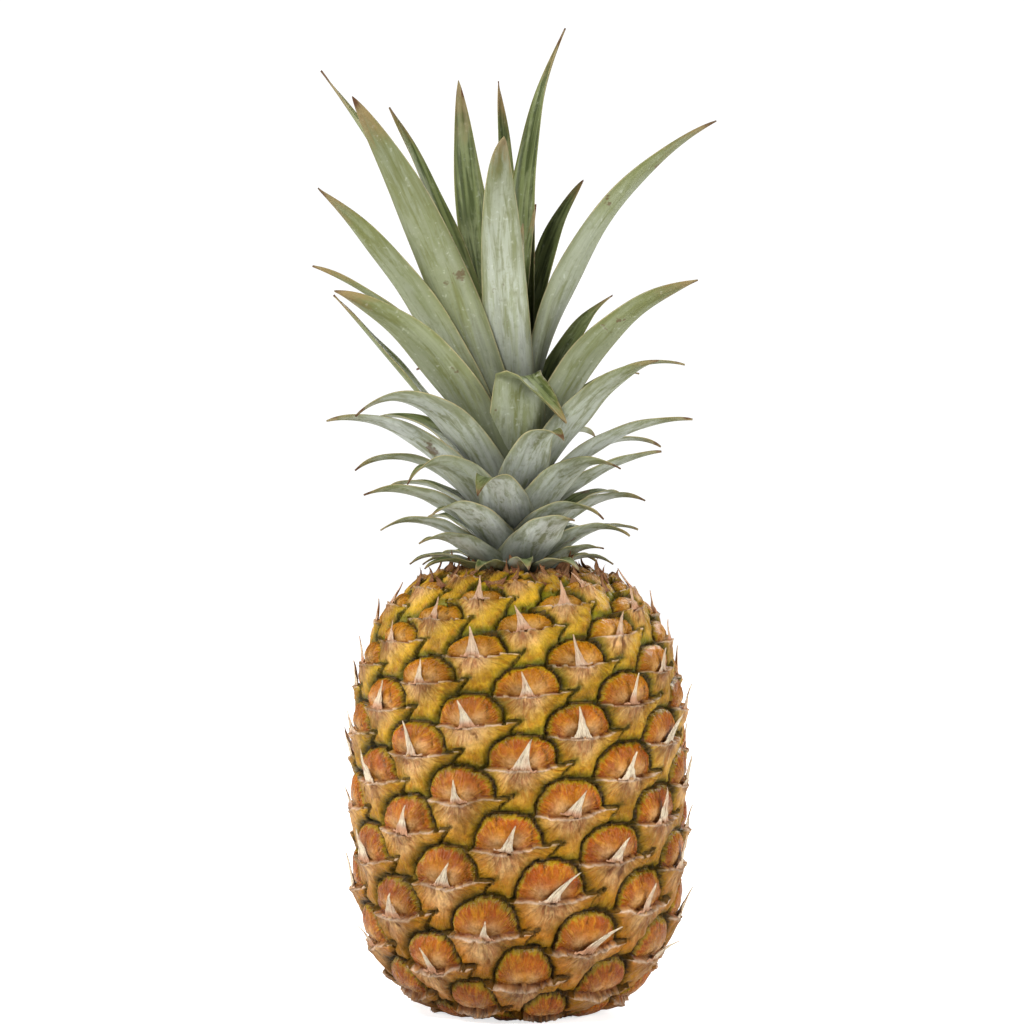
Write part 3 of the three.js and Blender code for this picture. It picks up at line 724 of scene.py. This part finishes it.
ARCHING_LEAVES = [
    (-55, 193, 80, 22, 64, -42, 2, -9, 25),
    (-75, 189, 76, 18, 50, -12, 2, 1, 30),
    (-42, 183, 62, 20, 56, -52, 2, 5, 20),
    (-92, 185, 60, 14, 52, -40, 2, 0, 20),
    (-72, 179, 54, 15, 40, -20, 2, 4, 25),
    (-82, 173, 43, 13, 38, -34, 2, 1, 20),
    (-34, 174, 47, 19, 50, -30, 1.8, -8, 15),
    (-50, 168, 37, 17, 42, -24, 1.8, -2, 15),
    (-12, 181, 55, 22, 52, -50, 2.2, -6, 0),
    (18, 191, 56, 22, 63, -34, 2.2, 10, 0),
    (44, 183, 53, 21, 58, -27, 2, 18, -20),
    (34, 176, 46, 17, 46, -40, 2, 25, -15),
    (22, 169, 46, 22, 42, -6, 2, 12, -15),
    (75, 178, 46, 13, 42, -22, 2.2, -6, -20),
    (82, 172, 36, 13, 40, -36, 2, -2, -20),
    (66, 167, 27, 11, 38, -14, 2, -2, -15),
    (80, 187, 54, 13, 42, 8, 1.6, 0, -25),
    (88, 194, 68, 15, 46, -2, 1.6, 0, -30),
    (108, 202, 80, 14, 62, -14, 1.8, 0, -20),
    (60, 197, 77, 20, 62, 12, 1.6, -6, -30),
]

# Lengthwise steps, columns, ripple in millimetres, and the range of finishes from grey to green
LONG_BLADE = (64, 14, 0.28, (0.35, 1))
SHORT_BLADE = (40, 14, 0.2, (0, 0.45))
SMALL_BLADE = (24, 8, 0.15, (0, 1))


def seeded(seed):
    """The same run of random numbers as the solids' back and small leaves use."""
    state = seed
    while True:
        state = (state * 1664525 + 1013904223) % 4294967296
        yield state / 4294967296


def back_leaves():
    """Four tiers of leaves round the back, which the photograph hides."""
    random = seeded(23)
    tiers = [
        (197, 78, 16, 62, -10, (130, 168, -142)),
        (188, 66, 16, 54, -25, (112, 150, -172, -122)),
        (178, 50, 15, 44, -28, (124, 162, -152, -110)),
        (169, 38, 14, 40, -28, (106, 142, -176, -132)),
    ]
    leaves = {}
    for row, (root, length, width, rise, tip, azimuths) in enumerate(tiers, 1):
        for i, azimuth in enumerate(azimuths):
            leaves[f"back_leaf_{row}{'abcd'[i]}"] = Leaf(
                azimuth, root + 1.5 * i, length * (0.92 + 0.16 * next(random)), width, rise,
                tip * (0.7 + 0.6 * next(random)), 2, -8 + 16 * next(random), -15 + 30 * next(random),
            )
    return leaves


def small_leaves():
    """The small leaves round the stem's foot, and the young ones in its heart."""
    random = seeded(5)
    azimuths = [-64, -88, -22, 8, 38, 92, 124, 158, -166, -134, -108]
    foot = [
        Leaf(azimuth, 165 + 0.5 * (i % 2), 25 + 5 * next(random), 11, 36, -40, 1.8)
        for i, azimuth in enumerate(azimuths)
    ]
    heart = [
        Leaf(azimuth, 234, 62 + 22 * next(random), 7, 86, 78, 1.5, 0, 0, 2.4)
        for azimuth in (20, 130, -110)
    ]
    return foot + heart


def crown_leaves():
    """Every leaf that is a piece of its own, by the name of its solid."""
    leaves = {f"sword_leaf_{place}": Leaf(*shape) for place, shape in SWORD_LEAVES.items()}
    leaves |= {f"arching_leaf_{number:02}": Leaf(*shape) for number, shape in enumerate(ARCHING_LEAVES, 1)}
    return leaves | back_leaves()


def stem_radius(height):
    radii = [radius for radius, _ in STEM_OUTLINE]
    heights = [level for _, level in STEM_OUTLINE]
    return float(np.interp(height, heights[1:], radii[1:]))


def smooth_step(share):
    share = min(1.0, max(0.0, share))
    return share * share * (3 - 2 * share)


def blade_frames(leaf, steps):
    """The blade's middle line from root to tip, with the directions across and above it."""
    turn = math.radians(leaf.azimuth - 90)
    out = Vector((math.cos(turn), math.sin(turn), 0))
    side = Vector((-math.sin(turn), math.cos(turn), 0))
    reach = stem_radius(leaf.root) - ROOT_SINK
    place = Vector((CROWN_SHIFT, 0, leaf.root)) + out * reach
    frames = []
    for i in range(steps + 1):
        share = i / steps
        middle = max(0.0, share - 0.5 / steps)
        slope = leaf.rise + (leaf.tip - leaf.rise) * middle ** leaf.bend
        heading = leaf.drift * middle ** 2
        if leaf.fold:
            crease, fold_slope, fold_turn = leaf.fold
            folded = smooth_step((share - crease) / CREASE_WIDTH + 0.5)
            slope += (fold_slope - slope) * folded
            heading += (fold_turn - heading) * folded
        slope, heading = math.radians(slope), math.radians(heading)
        forward = out * math.cos(heading) + side * math.sin(heading)
        along = forward * math.cos(slope) + Vector((0, 0, math.sin(slope)))
        if i:
            place = place + along * (leaf.length / steps)
        across = side * math.cos(heading) - out * math.sin(heading)
        upper = along.cross(across)
        roll = math.radians(leaf.roll) * smooth_step(share / ROLL_END)
        rolled_across = across * math.cos(roll) + upper * math.sin(roll)
        rolled_upper = upper * math.cos(roll) - across * math.sin(roll)
        frames.append((share, place.copy(), rolled_across, rolled_upper))
    return frames


def add_blade(mesh, leaf, steps, columns, ripple, tone_range):
    """Adds one thin channelled blade to a bmesh, with its place along, across and side stored."""
    floats = mesh.verts.layers.float
    names = ("along", "across", "breadth", "inner", "tone")
    layers = {name: floats.get(name) or floats.new(name) for name in names}
    tone = float(rng.uniform(*tone_range))
    wave = rng.uniform(0, math.tau, 3)
    sheets = ([], [])
    for share, place, across, upper in blade_frames(leaf, steps):
        half = leaf.width / 2 * max(0.0, 1 - share ** leaf.taper) ** 0.85 + BLADE_POINT
        curl = math.radians(ROOT_CURL + (BLADE_CURL - ROOT_CURL) * min(1.0, share / CURL_END))
        radius = half / math.sin(curl)
        lines = ([], [])
        for column in range(columns + 1):
            offset = 2 * column / columns - 1
            angle = offset * curl
            rise = radius * (1 - math.cos(angle))
            sway = ripple * offset ** 2 * math.sin(share * 21 + wave[0] + (1.5 if offset > 0 else 0))
            sway += ripple * 0.6 * math.sin(share * 9 + offset * 2 + wave[1])
            thin = EDGE_THICKNESS + (BLADE_THICKNESS - EDGE_THICKNESS) * (1 - offset * offset)
            thin *= 1 - 0.5 * share
            lift = rise + BLADE_LIFT + sway * min(1, 4 * share)
            middle = place + across * (radius * math.sin(angle)) + upper * lift
            for side, shift in ((0, -0.5), (1, 0.5)):
                vertex = mesh.verts.new((middle + upper * (thin * shift)) * MM)
                for name, value in zip(names, (share, offset, offset * half, side, tone)):
                    vertex[layers[name]] = value
                lines[side].append(vertex)
        for sheet, line in zip(sheets, lines):
            sheet.append(line)
    close_sheet(mesh, sheets)


def leaf_piece(name, leaf, material):
    mesh = bmesh.new()
    add_blade(mesh, leaf, *(LONG_BLADE if leaf.taper > 2 else SHORT_BLADE))
    return dressed(finished(mesh, name + "_blade", material), "leaf", name)


def finished(mesh, name, material):
    bmesh.ops.recalc_face_normals(mesh, faces=mesh.faces)
    data = smooth_mesh(mesh, name)
    data.materials.append(material)
    return linked(name, data)


def crown_stem_piece(material):
    """The stem with the small leaves round its foot and the young leaves in its heart."""
    mesh = bmesh.new()
    for leaf in small_leaves():
        add_blade(mesh, leaf, *SMALL_BLADE)
    sides = 48
    rings = []
    for radius, height in STEM_OUTLINE[:-1]:
        ring = []
        for i in range(sides):
            angle = math.tau * i / sides
            spot = Vector((CROWN_SHIFT + radius * math.cos(angle), radius * math.sin(angle), height))
            ring.append(mesh.verts.new(spot * MM))
        rings.append(ring)
    for low, high in zip(rings, rings[1:]):
        for i in range(sides):
            mesh.faces.new((low[i], low[(i + 1) % sides], high[(i + 1) % sides], high[i]))
    mesh.faces.new(list(reversed(rings[0])))
    mesh.faces.new(rings[-1])
    return dressed(finished(mesh, "crown_heart", material), "crown_stem", "crown_stem")


# Finishes


def colour(red, green, blue):
    """A colour given as display values from 0 to 255, as a shader takes it."""
    return (*(((value / 255 + 0.055) / 1.055) ** 2.4 for value in (red, green, blue)), 1.0)


ORANGE = colour(214, 132, 10)
ORANGE_DEEP = colour(196, 104, 4)
ORANGE_DARK = colour(172, 84, 2)
# Honey orange: painted sheen in patches on the domes, and the colour of their lighter spokes
HONEY_AND_SHEEN = colour(222, 150, 26)
BRICK_RED = colour(164, 56, 8)
PALE_HEART = colour(236, 192, 134)
RIM_YELLOW = colour(176, 144, 24)
GOLD = colour(208, 156, 24)
# Painted shadow: the dark hollow along the foot of a dome, just above the lip
DOME_FOOT_SHADOW = colour(116, 52, 20)
FLAP_GOLD = colour(196, 130, 4)
FLAP_ORANGE = colour(192, 112, 12)
FLAP_YELLOW = colour(220, 168, 30)
# Painted light: the brighter yellow of a flap's raised middle
FLAP_PAINTED_LIGHT = colour(236, 190, 54)
FLAP_GREEN = colour(112, 116, 8)
FLAP_ROSE = colour(182, 118, 70)
FLAP_TAN = colour(236, 186, 122)
# Painted shade: dark brown in the hollows of the flaps' folds
FLAP_CREASE_SHADE = colour(112, 60, 24)
LIP_PINK = colour(246, 212, 180)
GROOVE_OLIVE = colour(84, 74, 4)
# Painted shadow: the brown-black shade deep in the grooves
GROOVE_SHADOW = colour(38, 28, 2)
SCUFF_BROWN = colour(110, 60, 20)
STRAW_PALE = colour(238, 222, 192)
STRAW_ROSY = colour(206, 154, 118)
STRAW_DARK = colour(136, 88, 54)
BRACT_PALE = colour(196, 150, 100)
BRACT_BROWN = colour(126, 76, 44)
BRACT_DARK = colour(66, 38, 22)
WAX_LIGHT = colour(226, 230, 218)
WAX_GREY = colour(214, 219, 210)
WAX_GREEN = colour(140, 146, 112)
LEAF_SAGE = colour(134, 142, 100)
LEAF_OLIVE = colour(106, 110, 52)
LEAF_MOSS = colour(108, 118, 70)
LEAF_DEEP = colour(66, 76, 36)
# Painted shade: the dark green deep down at a leaf's foot, among the crowded leaves
CREVICE_SHADE_GREEN = colour(52, 58, 28)
MARGIN_TAN = colour(172, 160, 116)
TIP_BROWN = colour(92, 62, 36)
TIP_TAN = colour(150, 120, 78)
STALK_TAN = colour(176, 144, 98)
STALK_BROWN = colour(118, 86, 54)
STALK_FIBRE = colour(200, 174, 132)
FLOOR_WHITE = colour(246, 246, 246)
FLOOR_SHADE = colour(243, 243, 243)
# Painted contact shadow in the floor's glow round the fruit
FLOOR_CONTACT_SHADOW = colour(60, 60, 60)


class Surface(Tree):
    """The tree of a new material, with its shader and the place of a spot on the piece."""

    def __init__(self, name):
        self.material = bpy.data.materials.new(name)
        self.material.use_nodes = True
        super().__init__(self.material.node_tree)
        self.shader = self.tree.nodes["Principled BSDF"]
        self.spot = self.add("ShaderNodeTexCoord", output=3)

    def attributes(self, *names):
        return [self.add("ShaderNodeAttribute", {"attribute_name": name}, output=2) for name in names]

    def set(self, name, value):
        if isinstance(value, Link):
            self.tree.links.new(value.socket, self.shader.inputs[name])
        else:
            self.shader.inputs[name].default_value = value

    def finished(self, base, roughness, normal=None, gloss=0.3):
        """Sets the shader's main sockets and gives the material."""
        self.set("Base Color", base)
        self.set("Roughness", roughness)
        self.set("Specular IOR Level", gloss)
        if normal:
            self.set("Normal", normal)
        return self.material


def fruit_level(tree):
    """How far up the fruit a spot is, from 0 at its foot to 1 at its top."""
    return (tree.parts(tree.spot)[2] / (2 * FRUIT_CENTRE * MM)).clamped()


def rind_material():
    """Orange domes with fine spokes, yellow and rosy flaps, green grooves and pale lips, with painted
    shade, light and sheen.
    """
    tree = Surface("rind")
    level = fruit_level(tree)
    across, up, dome, rim, folds, tone = tree.attributes("across", "up", "dome", "rim", "folds", "tone")
    cloud = tree.noise(tree.spot, 24, 3)
    blotch = tree.noise(tree.spot, 85, 4, 0.65)
    grain = tree.noise(tree.spot, 480, 4, 0.7)
    reach = dome_reach(across, up)
    spoke_angle = (up + 0.12).math("ARCTAN2", across)
    spokes = tree.noise(tree.place(spoke_angle * 3.4, reach * 0.8, tone * 31), 3.4, 3, 0.65, 0.15)
    flush = tree.noise(tree.place(spoke_angle * 0.9, reach * 1.1, tone * 47), 2.1, 4, 0.65, 0.8)
    fibres = tree.noise(tree.place(fan_angle(across, up) * 2.6, up * 0.7, tone * 17), 4.2, 4, 0.65, 0.35)
    ragged = reach + (spokes - 0.5) * 0.32 + (grain - 0.5) * 0.08
    crest = (across / 0.3).near(1) * reach.rises(0.25, 0.6)
    reddened = (flush.rises(0.48, 0.66) * reach.rises(0.15, 0.5) + crest * 0.3).clamped()
    heart = (abs(across) - 0.17).near(0.17) * (up - 0.2).near(0.2)
    orange = tree.coated(
        tree.mix(tone, ORANGE_DEEP, ORANGE),
        # painted sheen in patches over the dome
        (blotch.rises(0.42, 0.62) * 0.6, HONEY_AND_SHEEN),
        ((reach + (blotch - 0.5) * 0.6).rises(0.4, 0.72) * 0.7, ORANGE_DARK),
        (spokes.rises(0.48, 0.62) * reach.rises(0.25, 0.7) * 0.7, HONEY_AND_SHEEN),
        (spokes.rises(0.46, 0.36) * reach.rises(0.2, 0.7) * 0.6, ORANGE_DEEP),
        (reddened * 0.55, BRICK_RED),
        ((heart * grain.between(0.1, 1.6)).clamped() * 0.75, PALE_HEART),
        (ragged.rises(0.84, 0.93) * 0.85, RIM_YELLOW),
        (level.rises(0.6, 1) * 0.45, GOLD),
        # painted shadow in the hollow along the dome's foot
        (up.rises(0.12, 0.02) * 0.8, DOME_FOOT_SHADOW),
    )
    stringy = fibres * 0.6 + blotch * 0.4
    yellow = tree.coated(
        tree.mix(stringy.rises(0.42, 0.58), FLAP_GOLD, FLAP_YELLOW),
        (cloud.rises(0.5, 0.66) * level.between(0, 0.35), FLAP_GREEN),
        # painted light on the flap's raised middle, away from its edges and grooves
        ((rim + (blotch - 0.5) * 0.3).rises(0.2, 0.5) * 0.6, FLAP_PAINTED_LIGHT),
        (level.rises(0.75, 0.15) * blotch.rises(0.35, 0.6).between(0.3, 0.9), FLAP_ORANGE),
    )
    rosy = tree.mix(stringy.rises(0.4, 0.6), FLAP_ROSE, FLAP_TAN)
    # painted shade in the hollows of the folds
    rosy = tree.mix(folds.rises(0.46, 0.3) * 0.75, rosy, FLAP_CREASE_SHADE)
    middle = (across / (up + 1).clamped().between(0.2, 0.46)).near(1) * (up + 0.05).near(0.55)
    share = (middle * 1.35 + (blotch - 0.5) * 1.3 - 0.15 - level.rises(0.45, 1) * 0.1).clamped()
    low_lobe = (-up + (blotch - 0.5) * 0.8).rises(0.8, 1.1)
    edge = (rim + (grain - 0.5) * 0.1 + (blotch - 0.5) * 0.2).near(0.16)
    lip = (up + (grain - 0.5) * 0.06 + 0.03).near(0.026)
    flap = tree.coated(
        tree.mix(share, yellow, rosy),
        # more painted shade in the fold hollows
        (folds.rises(0.42, 0.28) * 0.45, FLAP_CREASE_SHADE),
        (low_lobe * level.between(0.3, 0.85), FLAP_GREEN),
        (edge * level.between(0.05, 0.9), FLAP_GREEN),
        (lip * blotch.rises(0.3, 0.6).between(0.4, 0.95), LIP_PINK),
    )
    # The groove colour: the rind's olive green in patches, and painted shadow in the rest
    green = tree.mix((blotch * 0.6 + cloud * 0.4).rises(0.42, 0.58), GROOVE_OLIVE, GROOVE_SHADOW)
    groove = (rim + (grain - 0.5) * 0.06 + (spokes - 0.5) * 0.1).near(0.06)
    skin = tree.coated(
        tree.mix(dome, flap, orange),
        (rim.near(0.1) * (1 - dome) * level.between(0.35, 0.8), GROOVE_OLIVE),
        # painted shadow, with olive green in patches, along the grooves round the domes
        (groove * blotch.rises(0.25, 0.55).between(0.6, 0.95), green),
        (grain.rises(0.58, 0.74) * 0.45, SCUFF_BROWN),
    )
    shade = grain.between(0.3, 1.36) * cloud.between(0.74, 1.12)
    # Painted shade: the rind is darker towards the foot, up to its middle height
    shade = shade * blotch.rises(0.3, 0.68).between(0.62, 1.06) * level.rises(0, 0.5).between(0.85, 1)
    skin = tree.shaded(skin, shade)
    roughness = (grain * 0.36 + 0.1 + (1 - dome) * 0.12).clamped()
    ridges = spokes * dome * reach + fibres * (1 - dome)
    normal = tree.bump(ridges, 1.9 * MM, 1.0)
    normal = tree.bump(grain, 0.5 * MM, 0.6, normal)
    return tree.finished(skin, roughness, normal, 0.18)


def dry_material(name, pale, rosy, dark):
    """Papery tissue with fibres along it, rosier at its foot and darker in patches."""
    tree = Surface(name)
    along, across, tone = tree.attributes("along", "across", "tone")
    patch = tree.noise(tree.spot, 150, 3)
    speck = tree.noise(tree.spot, 1100, 3)
    fibre = tree.noise(tree.place(across * 5, along * 1.3, tone * 53), 3, 4, 0.65)
    straw = tree.coated(
        tree.mix((along + (tone - 0.5) * 0.3).rises(0, 0.25), rosy, pale),
        (fruit_level(tree).rises(0.68, 0.98) * 0.7, rosy),
        (fibre.rises(0.5, 0.64) * 0.75, dark),
        (patch.rises(0.52, 0.68) * 0.55, rosy),
        (speck.rises(0.6, 0.75) * 0.4, dark),
        (along.rises(0.82, 1) * 0.5, dark),
    )
    normal = tree.bump(fibre, 1.2 * MM, 0.8)
    return tree.finished(straw, 0.72, tree.bump(speck, 0.4 * MM, 0.5, normal))


def leaf_material():
    """Grey wax over olive green, with long veins, tan edges, a dry tip and painted shade at its foot."""
    tree = Surface("waxy_leaf")
    along, across, breadth, inner, tone = tree.attributes("along", "across", "breadth", "inner", "tone")
    cloud = tree.noise(tree.spot, 22, 3)
    patch = tree.noise(tree.spot, 70, 4, 0.65)
    speck = tree.noise(tree.spot, 560, 2, 0.5)
    veins = tree.noise(tree.place(breadth * 0.28, along * 1.6, tone * 29), 2.6, 1, 0.5)
    streaks = tree.noise(tree.place(breadth * 0.3, along * 4.5, tone * 41), 1.7, 4, 0.65, 0.5)
    rubbed = tree.noise(tree.place(breadth * 0.15, along * 2, tone * 61), 2.3, 4, 0.65, 0.5)
    bare = (rubbed + along * 0.1 - 0.05 + abs(across) * 0.06).rises(0.5, 0.7)
    spine = (across / 0.35).near(1) * (streaks * 0.6 + rubbed * 0.4).rises(0.44, 0.6)
    outer = tree.coated(
        tree.mix((tone + along * 0.5 - 0.1 + (cloud - 0.5) * 1.2).clamped(), WAX_GREY, WAX_GREEN),
        (streaks.rises(0.5, 0.66) * 0.45, LEAF_SAGE),
        (veins.rises(0.52, 0.7) * 0.25, LEAF_SAGE),
        (bare * 0.6, LEAF_OLIVE),
        ((along + (streaks - 0.5) * 0.5).rises(0.6, 1) * 0.6, LEAF_OLIVE),
        (spine * 0.55, LEAF_OLIVE),
    )
    deep = tree.mix(veins.rises(0.38, 0.62), LEAF_DEEP, LEAF_MOSS)
    deep = tree.mix((patch * 0.4 + streaks * 0.6).rises(0.47, 0.6) * 0.6, deep, LEAF_SAGE)
    margin = (abs(across) + (speck - 0.5) * 0.04).rises(0.95, 0.99)
    tanned = along + (streaks - 0.5) * 0.25 + (patch - 0.5) * 0.2 + abs(across) * 0.03
    dry = (along - tone.between(0.93, 0.975) + (patch - 0.5) * 0.08 + abs(across) * 0.01).rises(0, 0.03)
    # Painted shade towards each leaf's foot, deep in the crown
    crevice_shade = (along + (streaks - 0.5) * 0.3).rises(0.46, 0.1)
    blade = tree.coated(
        tree.mix(inner, outer, deep),
        (speck.rises(0.62, 0.76) * inner.between(0.22, 0.1), WAX_LIGHT),
        (speck.rises(0.42, 0.3) * 0.2, LEAF_OLIVE),
        ((abs(across) + (patch - 0.5) * 0.4).rises(0.6, 1) * 0.55, LEAF_OLIVE),
        (margin * patch.rises(0.35, 0.6).between(0.15, 0.8), MARGIN_TAN),
        ((patch - 0.5).rises(0.17, 0.21) * 0.7, TIP_BROWN),
        (tanned.rises(0.84, 0.98) * tone.between(0.3, 0.75), TIP_TAN),
        (dry, tree.mix(veins.rises(0.4, 0.65) * 0.6, TIP_BROWN, MARGIN_TAN)),
        # painted shade at the leaf's foot
        (crevice_shade * 0.6, CREVICE_SHADE_GREEN),
    )
    # the painted shade at the foot also darkens the whole colour there
    shade = cloud.between(0.54, 1.2) * speck.between(0.95, 1.05) * (1 - crevice_shade * 0.32)
    roughness = (patch * 0.22 + 0.36 + speck * 0.12 + dry * 0.25).clamped()
    return tree.finished(tree.shaded(blade, shade), roughness, tree.bump(veins, 0.6 * MM, 0.6))


def stalk_material():
    """A dry brown cut across fibres."""
    tree = Surface("cut_stalk_end")
    pith = tree.noise(tree.spot, 90, 4)
    fibre = tree.add("ShaderNodeTexVoronoi", None, {"Vector": tree.spot, "Scale": 900.0})
    tan = tree.mix(pith.rises(0.35, 0.65), STALK_TAN, STALK_BROWN)
    tan = tree.mix(fibre.rises(0.3, 0.6) * 0.5, tan, STALK_FIBRE)
    return tree.finished(tan, 0.85, tree.bump(fibre, 0.5 * MM, 0.7))


# Stage

ROUND_LIGHT = 0.13
BACKDROP_LIGHT = 1.1
FLOOR_GLOW = 1.0
FLOOR_HALF_SIDE = 3.0
CONTACT_SHADE = (0.05, 0.2)

# Each lamp's place, side and power
LAMPS = {
    "key": ((-0.6, -1.2, 1.2), 0.5, 28),
    "fill": ((1.4, -0.5, 0.5), 0.7, 17),
    "rim": ((0.7, 1.2, 0.9), 0.7, 13),
    "left_rim": ((-1.4, 0.2, 0.4), 0.7, 14),
}
LAMP_TARGET = (0, 0, 0.17)

CAMERA_DISTANCE = 2.0
CAMERA_ELEVATION = math.radians(3)
CAMERA_TARGET = Vector((-0.00265, 0, 0.190))
CAMERA_LENS = 185.6


def floor_material():
    """A pale table that glows to the camera alone, with a painted contact shadow close to the fruit."""
    tree = Surface("pale_floor")
    x, y, _ = tree.parts(tree.spot)
    away = ((x * x + y * y) ** 0.5).rises(*CONTACT_SHADE)
    seen = tree.add("ShaderNodeLightPath")
    # Painted contact shadow: the glow is darker close to the fruit
    tree.set("Emission Color", tree.mix(seen * away.between(0.78, 1), FLOOR_CONTACT_SHADOW, FLOOR_WHITE))
    tree.set("Emission Strength", FLOOR_GLOW)
    return tree.finished(tree.mix(tree.noise(tree.spot, 4, 2), FLOOR_WHITE, FLOOR_SHADE), 0.7)


def stage_floor(material):
    side = FLOOR_HALF_SIDE
    mesh = bpy.data.meshes.new("floor")
    corners = [(-side, -side, 0), (side, -side, 0), (side, side, 0), (-side, side, 0)]
    mesh.from_pydata(corners, [], [(0, 1, 2, 3)])
    mesh.materials.append(material)
    linked("floor", mesh)


def aim(thing, target):
    thing.rotation_euler = (target - thing.location).to_track_quat("-Z", "Y").to_euler()


def soft_light(name, place, size, power):
    data = bpy.data.lights.new(name, "AREA")
    data.shape = "SQUARE"
    data.size = size
    data.energy = power
    lamp = bpy.data.objects.new(name, data)
    lamp.location = place
    aim(lamp, Vector(LAMP_TARGET))
    bpy.context.scene.collection.objects.link(lamp)


def studio():
    """A white backdrop for the camera, dimmer light from all round, and the soft lamps."""
    world = bpy.data.worlds.new("studio")
    world.use_nodes = True
    tree = Tree(world.node_tree)
    seen = tree.add("ShaderNodeLightPath")
    strength = seen.between(ROUND_LIGHT, BACKDROP_LIGHT)
    backdrop = world.node_tree.nodes["Background"]
    backdrop.inputs["Color"].default_value = colour(255, 255, 255)
    tree.tree.links.new(strength.socket, backdrop.inputs["Strength"])
    bpy.context.scene.world = world
    bpy.context.scene.view_settings.view_transform = "Standard"
    for name, lamp in LAMPS.items():
        soft_light(name, *lamp)


def camera():
    """The photograph's view: a long lens, a little above the middle of the pineapple."""
    data = bpy.data.cameras.new("camera")
    data.sensor_width = 36
    data.lens = CAMERA_LENS
    data.clip_end = 20
    view = bpy.data.objects.new("camera", data)
    back = Vector((0, -math.cos(CAMERA_ELEVATION), math.sin(CAMERA_ELEVATION)))
    view.location = CAMERA_TARGET + back * CAMERA_DISTANCE
    aim(view, CAMERA_TARGET)
    bpy.context.scene.collection.objects.link(view)
    bpy.context.scene.camera = view


# The pineapple

rind = rind_material()
dry = dry_material("dry_papery_tip", STRAW_PALE, STRAW_ROSY, STRAW_DARK)
waxy = leaf_material()

dressed(rind_skin(rind), "rind", "fruit")
dressed(dry_tips(dry), "rind", "fruit")
dressed(dried_bracts(dry_material("dried_bract", BRACT_PALE, BRACT_BROWN, BRACT_DARK)), "rind", "fruit")
crown_stem_piece(waxy)
for leaf_name, leaf_shape in crown_leaves().items():
    leaf_piece(leaf_name, leaf_shape, waxy)

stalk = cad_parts["cut_stalk"]
stalk.data.materials.clear()
stalk.data.materials.append(stalk_material())

stage_floor(floor_material())
studio()
camera()
